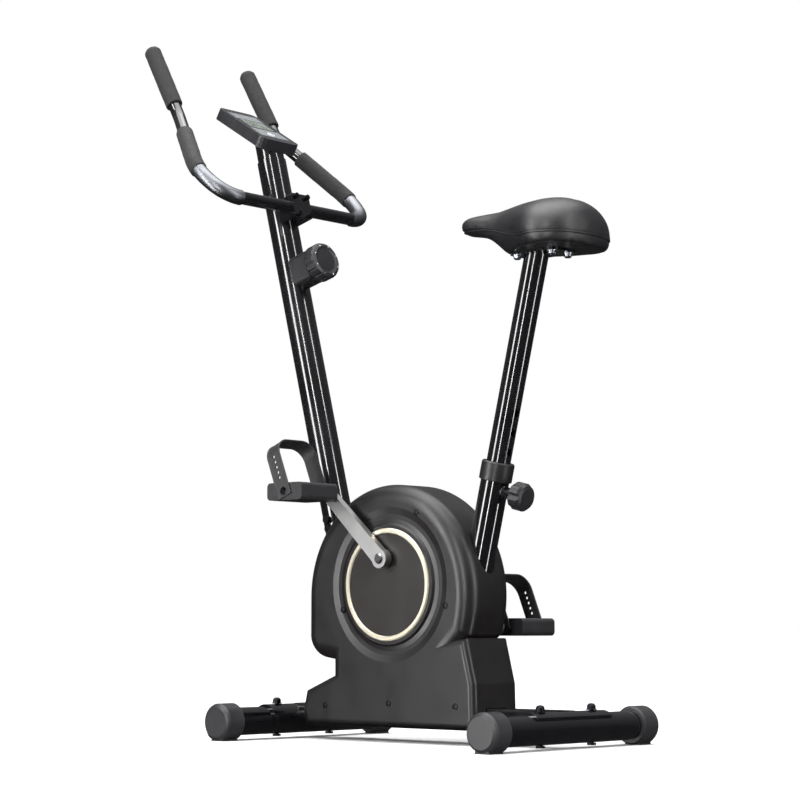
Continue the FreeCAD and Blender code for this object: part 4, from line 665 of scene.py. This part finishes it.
SADDLE_VOXEL = 4.0
bun = soft_copy("saddle_bun", "saddle_cushion", SADDLE_VOXEL)
bun_low, bun_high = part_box("saddle_cushion")
print("bun vertices:", len(bun.vertices), "size, mm:", [round(v * 1000) for v in bun_high - bun_low])

# %% Swell the bun under its cover
SWELL_CAP = 5 * MM


def swell(holder, cap, held):
    """Cloth with air in it for 20 frames. Held vertices stay, and none moves further than the cap."""
    glued = holder.vertex_groups.new(name="glued_rim")
    glued.add(held, 1.0, "REPLACE")
    cover = holder.modifiers.new("stuffed_cover", "CLOTH")
    cover.settings.quality = 5
    cover.settings.mass = 0.3
    cover.settings.tension_stiffness = 25
    cover.settings.compression_stiffness = 25
    cover.settings.use_pressure = True
    cover.settings.uniform_pressure_force = 4.0
    cover.settings.effector_weights.gravity = 0
    cover.settings.vertex_group_mass = "glued_rim"
    cover.point_cache.frame_start, cover.point_cache.frame_end = 1, 20
    for moment in range(1, 21):
        scene.frame_set(moment)
    graph = bpy.context.evaluated_depsgraph_get()
    blown = [v.co.copy() for v in holder.evaluated_get(graph).data.vertices]
    holder.modifiers.remove(cover)
    furthest = 0.0
    for vertex, target in zip(holder.data.vertices, blown):
        step = target - vertex.co
        if step.length > cap:
            step *= cap / step.length
        vertex.co += step
        furthest = max(furthest, step.length)
    scene.frame_set(1)
    return furthest


centre = (bun_low + bun_high) / 2
for vertex in bun.vertices:
    offset = vertex.co - centre
    vertex.co = centre + Vector((offset.x * 0.975, offset.y * 0.965, offset.z * 0.97 - 0.0005))
bun_holder = bpy.data.objects.new("saddle_bun", bun)
scene.collection.objects.link(bun_holder)
rim = [v.index for v in bun.vertices if v.co.z < bun_low.z + 7 * MM]
print("furthest swell, mm:", round(swell(bun_holder, SWELL_CAP, rim) * 1000, 2))
smoother = bun_holder.modifiers.new("fine_skin", "SUBSURF")
smoother.levels = smoother.render_levels = 1
bun_skin = settled(bun_holder)
bpy.data.objects.remove(bun_holder)
for vertex in bun_skin.vertices:
    vertex.co.z = max(vertex.co.z, bun_low.z)
print("skin vertices:", len(bun_skin.vertices))

# %% [markdown]
# ## Seam, piping and relief channel
#
# The cover is sewn from a top panel and a side band, and the seam between them runs round the saddle
# just above its rim, with a thin piping in it. To find that line, rays are shot inward at the skin
# from all round, at a height that climbs toward the nose. The skin is pinched in along the line, the
# piping is a rod laid in the pinch, and a row of stitches follows 4 mm above. The shallow channel
# down the middle of the seat, which takes pressure off the rider, is pressed into the skin in the
# same way. These come after the swelling, because a remesh would erase them.

# %% Find the seam and shape the skin
def seam_height(x):
    """The seam climbs from the rim at the tail to the middle of the side at the nose."""
    share = min(max((x - (bun_high.x - 0.19)) / 0.16, 0), 1)
    smooth = share * share * (3 - 2 * share)
    return bun_low.z + (15 + 31 * smooth) * MM


def line_round(skin, lift):
    """Points on the skin, all round the saddle, at the seam's height plus a lift."""
    hub = Vector((bun_low.x + 0.085, 0, 0))
    found = []
    for step in range(720):
        angle = math.tau * step / 720
        out = Vector((math.cos(angle), math.sin(angle), 0))
        z = bun_low.z + 20 * MM
        for _ in range(3):
            start = Vector((hub.x, hub.y, z + lift)) + out * 0.4
            hit = skin.ray_cast(start, -out)[0]
            z = seam_height(hit.x) if hit else z
        if hit:
            found.append(hit)
    return found


def even_steps(points, gap):
    """The same closed line with points an even gap apart."""
    made, carried = [], 0.0
    for a, b in zip(points, points[1:] + points[:1]):
        length = (b - a).length
        while carried < length:
            made.append(a.lerp(b, carried / length))
            carried += gap
        carried -= length
    return made


skin = BVHTree.FromPolygons([v.co for v in bun_skin.vertices], [p.vertices for p in bun_skin.polygons])
seam = even_steps(line_round(skin, 0), 4 * MM)
stitch_line = even_steps(line_round(skin, 4 * MM), 2.5 * MM)
near = KDTree(len(seam))
for index, point in enumerate(seam):
    near.insert(point, index)
near.balance()
normals = [v.normal.copy() for v in bun_skin.vertices]
for vertex, outward in zip(bun_skin.vertices, normals):
    away = near.find(vertex.co)[2] / (3.2 * MM)
    pinch = 1.1 * MM * math.exp(-away * away)
    channel = 0.0
    if outward.z > 0.25:
        run = (vertex.co.x - (bun_low.x + 0.03)) / 0.17
        ends = math.sin(math.pi * min(max(run, 0), 1)) ** 0.5
        channel = 3.2 * MM * ends * math.exp(-((vertex.co.y / (6 * MM)) ** 2))
    vertex.co -= outward * (pinch + channel)
saddle_cover = fit("saddle_cover", bun_skin, "seat", saddle_vinyl)
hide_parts("saddle_cushion")
print("seam length, mm:", round(4 * len(seam)))

# %% Piping and stitches
shape = bmesh.new()
tube(shape, seam, [1.25 * MM] * len(seam), closed=True, sides=10)
piping = fit("saddle_piping", to_mesh("saddle_piping", shape), "seat", saddle_vinyl)

shape = bmesh.new()
for start, stop in list(zip(stitch_line, stitch_line[1:]))[::2]:
    middle = (start + stop) / 2
    lift = Vector((middle.x - centre.x, middle.y, 0)).normalized() * 0.25 * MM
    points = [start - lift * 2, start + lift, middle + lift * 1.6, stop + lift, stop - lift * 2]
    tube(shape, points, [0.3 * MM, 0.42 * MM, 0.45 * MM, 0.42 * MM, 0.3 * MM], sides=6)
thread = moulding("black_polyester_thread", "#19191b", "#2c2c2f", 0.45, 0.60, 0.5, 0.02)
stitches = fit("saddle_stitches", to_mesh("saddle_stitches", shape), "seat", thread)
print("stitches:", len(stitch_line) // 2)

# %% [markdown]
# ## Foam grips
#
# The grips are nitrile foam sleeves pushed onto the bar with soapy water. Their ends relax into a
# round, and the foam is never quite even: it bulges and dips by a fraction of a millimetre. Two
# sleeves cover the hand grips at the ends of the bar, and two cover the arms above the lower bends.
# Each pair starts as an even copy of its hard part, and a slow noise moves the skin in and out. They
# could be swept along the bar again, but the copy is sure to sit on the same bends.

# %% Grips
def foam_sleeve(name, part):
    """A foam sleeve over a bar: the part's shape with relaxed ends and a gently uneven skin."""
    skin = soft_copy(name, part, 1.6)
    outward = [v.normal.copy() for v in skin.vertices]
    for vertex, direction in zip(skin.vertices, outward):
        drift = noise.noise(vertex.co * 70) * 0.35 + noise.noise(vertex.co * 210) * 0.12
        vertex.co += direction * (drift - 0.15) * MM
    sleeve = fit(name, skin, "handlebar", grip_foam)
    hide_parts(part)
    return sleeve


hand_sleeves = foam_sleeve("hand_grip_sleeves", "hand_grips")
arm_sleeves = foam_sleeve("arm_grip_sleeves", "arm_grips")
print("grip vertices:", len(hand_sleeves.data.vertices), len(arm_sleeves.data.vertices))

# %% [markdown]
# ## Pedal straps
#
# A strap is a moulded rubber band, 30 mm wide and 3 mm thick, with a thicker bead down each edge so
# that it doesn't tear, and a row of holes at its outer end. A peg on the side of the pedal goes
# through one of them, and the spare holes let a bigger shoe in. The band is drawn as a grid: the
# long way follows the arch over the foot, and the short way is the section with its two beads. A
# boolean then punches the holes, because their round edges catch the light.

# %% Strap line
STRAP_THICK, STRAP_RISE, PEDAL_HALF = 3, 84, 41
STRAP_BEND, FOOT_DROP = 25.5, 9
crank_tilt = math.radians(42.3)
slope = Matrix.Rotation(math.radians(22), 4, "Y")


def pedal_middle(side):
    """The middle of a pedal: 160 mm out along its crank and 130 mm from the middle of the bike."""
    reach = Vector((math.cos(crank_tilt), 0, math.sin(crank_tilt))) * 160 * MM * side
    return AXLE + reach + LEFT * 130 * MM * side


def arch_point(share):
    """A point of the strap's middle line and its outward direction, in mm, from foot, 0, to foot, 1."""
    half = PEDAL_HALF + STRAP_THICK / 2
    top = STRAP_RISE + STRAP_THICK / 2
    bend = STRAP_BEND
    leg, arc, span = top - bend + FOOT_DROP, math.pi / 2 * bend, 2 * (half - bend)
    s = share * (2 * leg + 2 * arc + span)
    if s < leg:
        return Vector((0, -half, s - FOOT_DROP)), Vector((0, -1, 0))
    if s < leg + arc:
        angle = (s - leg) / bend
        out = Vector((0, -math.cos(angle), math.sin(angle)))
        return Vector((0, bend - half, top - bend)) + out * bend, out
    if s < leg + arc + span:
        return Vector((0, bend - half + s - leg - arc, top)), Vector((0, 0, 1))
    point, out = arch_point(1 - share)
    return Vector((0, -point.y, point.z)), Vector((0, -out.y, out.z))


print("top of the arch, mm:", [round(c, 1) for c in arch_point(0.5)[0]])

# %% Straps
# half of the band's section: across the band and out from its middle, with a bead at the edge
HALF_SECTION = [(0, 0.9), (11.2, 0.9), (12.2, 1.5), (13.8, 1.5), (14.8, 0.9), (15, 0),
                (14.8, -0.9), (13.8, -1.3), (11.2, -1.3), (0, -1.3)]


def strap_band(side):
    shape = bmesh.new()
    section = HALF_SECTION + [(-x, t) for x, t in reversed(HALF_SECTION[1:-1])]
    stations = 90
    rings = []
    for index in range(stations + 1):
        point, out = arch_point(index / stations)
        ring = []
        for x, thick in section:
            place = slope @ Vector((x, (point.y + out.y * thick) * side, point.z + out.z * thick))
            ring.append(shape.verts.new(pedal_middle(side) + place * MM))
        rings.append(ring)
    for low, high in zip(rings, rings[1:]):
        for step in range(len(section)):
            after = (step + 1) % len(section)
            shape.faces.new((low[step], low[after], high[after], high[step]))
    shape.faces.new(rings[0])
    shape.faces.new(rings[-1])
    return shape


def punches(side):
    """Cutters for the spindle's hole in both feet and for five spare holes in the outer leg."""
    shape = bmesh.new()
    lathe(shape, [(7, -60), (7, 60)], pedal_middle(side), LEFT, steps=40)
    for index in range(5):
        spot = slope @ Vector((0, PEDAL_HALF * side, 24 + 9 * index))
        lathe(shape, [(2.4, -8), (2.4, 8)], pedal_middle(side) + spot * MM, LEFT, steps=24)
    return shape


for side, word in ((1, "left"), (-1, "right")):
    band = bpy.data.objects.new("band", to_mesh("band", strap_band(side)))
    punch = bpy.data.objects.new("punch", to_mesh("punch", punches(side)))
    for holder in (band, punch):
        scene.collection.objects.link(holder)
    holes = band.modifiers.new("holes", "BOOLEAN")
    holes.operation, holes.object, holes.solver = "DIFFERENCE", punch, "EXACT"
    softened = band.modifiers.new("softened", "BEVEL")
    softened.width, softened.segments, softened.limit_method = 0.25 * MM, 2, "ANGLE"
    strap = fit(word + "_foot_strap", settled(band), word + "_pedal", strap_rubber,
                smooth=False)
    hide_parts("strap_" + word)
    for holder in (band, punch):
        bpy.data.objects.remove(holder)
    print(strap.name, "faces:", len(strap.data.polygons))

# %% [markdown]
# ## Console display
#
# Under the acrylic window is a small liquid crystal display: a grey-green glass in a black printed
# frame, with dark segments that show a count, such as 0:00. Each figure is made of seven bars, which
# is why all such displays look alike. A text object would need a font that no one can be sure of, so
# the bars are laid out by a table of which bars are lit. Everything sits in the console's own
# directions: up the face, across it and out of it.

# %% Directions of the console's face
CONSOLE = AXLE + Vector((371, 0, 750)) * MM
console_tilt = math.radians(32)
face_up = Vector((math.cos(console_tilt), 0, math.sin(console_tilt)))
face_out = Vector((-math.sin(console_tilt), 0, math.cos(console_tilt)))
FACE_LIFT = 19.95


def on_face(up, right, out=0.0):
    """A point on the console's window, in mm up and to the right of its middle."""
    return CONSOLE + (face_up * up - LEFT * right + face_out * (FACE_LIFT + out)) * MM


def plaque(shape, up, right, tall, wide, thick, low=0.0, corner=0.0):
    """A thin plate on the console's face, with its corners cut by a few points each."""
    outline = []
    for turn_x, turn_y, first in ((1, 1, 0), (-1, 1, 90), (-1, -1, 180), (1, -1, 270)):
        for step in range(5):
            angle = math.radians(first + 22.5 * step)
            outline.append((turn_x * (wide / 2 - corner) + corner * math.cos(angle),
                            turn_y * (tall / 2 - corner) + corner * math.sin(angle)))
    lower = [shape.verts.new(on_face(up + y, right + x, low)) for x, y in outline]
    upper = [shape.verts.new(on_face(up + y, right + x, low + thick)) for x, y in outline]
    for index in range(len(outline)):
        after = (index + 1) % len(outline)
        shape.faces.new((lower[index], lower[after], upper[after], upper[index]))
    shape.faces.new(lower)
    shape.faces.new(upper)


print("middle of the window:", [round(c, 3) for c in on_face(0, 0)])

# %% Display finishes
# Reflective LCD glass: a grey-green polariser over a mirror film, faintly mottled, under a gloss face.
lcd_glass = start_finish("grey_green_lcd_glass")
place = add(lcd_glass, "TexCoord")
mottled = add(lcd_glass, "TexNoise", {
    "Vector": place.outputs["Object"], "Scale": per_metre(4), "Detail": 3.0})
colour = add(lcd_glass, "Mix", {
    0: mottled.outputs["Fac"], 6: linear("#737a73"), 7: linear("#899088")}, data_type="RGBA")
sheer = add(lcd_glass, "MapRange", {"Value": mottled.outputs["Fac"], "To Min": 0.14, "To Max": 0.22})
surface = add(lcd_glass, "BsdfPrincipled", {
    "Base Color": colour.outputs[2], "Roughness": sheer.outputs[0], "IOR": 1.5})
finish(lcd_glass, surface)
# Screen-printed ink is matt and slightly uneven. Segments and frame share it, and the screw crosses use it as
# painted shade.
print_and_painted_shade_ink = moulding("black_screen_ink_and_painted_shade", "#101012", "#1a1a1c", 0.40, 0.55, 1.0, 0.01)
white_ink = moulding("white_screen_ink", "#c9cbcc", "#dcdddd", 0.40, 0.55, 1.0, 0.01)
print("display finishes ready")

# %% Display
SEGMENTS = {"0": "abcdef", "1": "bc", "2": "abdeg", "3": "abcdg", "5": "acdfg", "8": "abcdefg"}
BARS = {  # up, right, tall and wide of each bar, for a figure 10 mm tall and 5 mm wide
    "a": (4.6, 0, 0.9, 3.6), "g": (0, 0, 0.9, 3.6), "d": (-4.6, 0, 0.9, 3.6),
    "b": (2.3, 2.2, 3.7, 0.9), "c": (-2.3, 2.2, 3.7, 0.9),
    "f": (2.3, -2.2, 3.7, 0.9), "e": (-2.3, -2.2, 3.7, 0.9),
}


def figures(shape, word, up, right, size):
    """Seven-bar figures in a row. A colon is two dots."""
    for sign in word:
        if sign == ":":
            plaque(shape, up + 2 * size, right - 1.0 * size, 0.9 * size, 0.9 * size, 0.1, 0.45)
            plaque(shape, up - 2 * size, right - 1.0 * size, 0.9 * size, 0.9 * size, 0.1, 0.45)
            right += 2 * size
            continue
        for bar in SEGMENTS[sign]:
            high, aside, tall, wide = BARS[bar]
            plaque(shape, up + high * size, right + aside * size, tall * size, wide * size, 0.1, 0.45)
        right += 6.6 * size


shape = bmesh.new()
plaque(shape, 6, 0, 42, 66, 0.3, -0.1, corner=4)
fit("console_frame", to_mesh("console_frame", shape), "frame", print_and_painted_shade_ink, smooth=False)
shape = bmesh.new()
plaque(shape, 6, 0, 34, 56, 0.3, 0.15, corner=1.5)
fit("console_lcd", to_mesh("console_lcd", shape), "frame", lcd_glass, smooth=False)
shape = bmesh.new()
figures(shape, "0:00", 12, -19, 1.15)
figures(shape, "000", -3, -20, 0.7)
figures(shape, "0:00", -3, 5, 0.7)
plaque(shape, 3.2, 0, 0.4, 50, 0.1, 0.45)
fit("console_figures", to_mesh("console_figures", shape), "frame", print_and_painted_shade_ink,
    smooth=False)
print("figures drawn")

# %% [markdown]
# ## Screw heads and knob scale
#
# The casing screws are cross-headed, so each gets its cross: a dark rod of black ink on the head, a
# painted shade that stands in for the recess of the cross. Their places come from the model: the
# screws are one node of separate heads, and a walk along its edges parts them again.
#
# The tension knob carries a scale of eight printed dots that grow toward the strong end, so it reads
# in any language. The face of the knob is dished, so each dot is dropped onto it by a ray, along the
# knob's axis, and lies square to the surface that it meets. A texture could print them as well, but
# the model has no unwrapped skin to print on.

# %% A cross for each casing screw
screw_low, screw_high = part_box("casing_screws")
print("screws reach from", [round(c, 3) for c in screw_low], "to", [round(c, 3) for c in screw_high])


def loose_parts(part):
    """The boxes of the separate pieces in a node: (lowest, highest) corners."""
    shape = bmesh.new()
    shape.from_mesh(model[part].data)
    bmesh.ops.remove_doubles(shape, verts=shape.verts, dist=1e-5)
    left, boxes = set(shape.verts), []
    while left:
        reached, edge = set(), [left.pop()]
        while edge:
            vertex = edge.pop()
            reached.add(vertex)
            for link in vertex.link_edges:
                other = link.other_vert(vertex)
                if other in left:
                    left.remove(other)
                    edge.append(other)
        places = [v.co for v in reached]
        boxes.append((Vector(map(min, zip(*places))), Vector(map(max, zip(*places)))))
    shape.free()
    return boxes


# painted shade: each cross is a raised rod of black ink where a real screw has a shaded recess
shape = bmesh.new()
for low, high in loose_parts("casing_screws"):
    middle = (low + high) / 2
    outward = 1 if middle.y > 0 else -1
    face = Vector((middle.x, high.y if outward > 0 else low.y, middle.z))
    for direction in (Vector((1, 0, 1)).normalized(), Vector((1, 0, -1)).normalized()):
        across = direction.cross(LEFT)
        tube(shape, [face - direction * 1.9 * MM, face + direction * 1.9 * MM], [0.42 * MM] * 2, sides=8)
fit("screw_crosses", to_mesh("screw_crosses", shape), "frame", print_and_painted_shade_ink)
print("screws:", len(loose_parts("casing_screws")))

# %% Weld beads
# Stacked half-moons of weld metal, 2.6 mm wide, round the seat tube's lock boss where it joins the tube.
def weld_bead(shape, middle, axis, radius, width=4.0):
    """A rippled ring of weld round a tube, radius in mm."""
    axis = axis.normalized()
    side = axis.orthogonal().normalized()
    other = axis.cross(side)
    count = max(24, int(math.tau * radius / 1.3))
    points, radii = [], []
    for step in range(count):
        angle = math.tau * step / count
        points.append(middle + (side * math.cos(angle) + other * math.sin(angle)) * radius * MM)
        radii.append((width / 2 + 0.3 * math.cos(step * math.tau / 3)) * MM)
    tube(shape, points, radii, closed=True, sides=10)


shape = bmesh.new()
boss = on_seat_line(396, 22.5)
weld_bead(shape, boss, seat_back, 9.0, 2.6)
fit("lock_boss_weld", to_mesh("lock_boss_weld", shape), "frame", stoving_enamel)
print("weld round the lock boss at", [round(c, 3) for c in boss])

# %% Dots on the tension knob
DOT_CIRCLE, DOT_COUNT, KNOB_FRONT = 26.5, 8, 200
knob_mesh = model["tension_knob"].data
knob_skin = BVHTree.FromPolygons([v.co for v in knob_mesh.vertices], [p.vertices for p in knob_mesh.polygons])
shape = bmesh.new()
for index in range(DOT_COUNT):
    angle = math.radians(247.5 - 45 * index)
    rim = (LEFT * -math.cos(angle) + post_up * math.sin(angle)) * DOT_CIRCLE * MM
    spot, facing = knob_skin.ray_cast(on_post(780, KNOB_FRONT) + rim, -post_back)[:2]
    size = 0.7 + 0.12 * index
    lathe(shape, [(size, -0.3), (size, 0.1), (size * 0.7, 0.18)], spot, facing, steps=20)
fit("knob_dots", to_mesh("knob_dots", shape), "load_knob", white_ink)
print("dots on the knob:", DOT_COUNT)
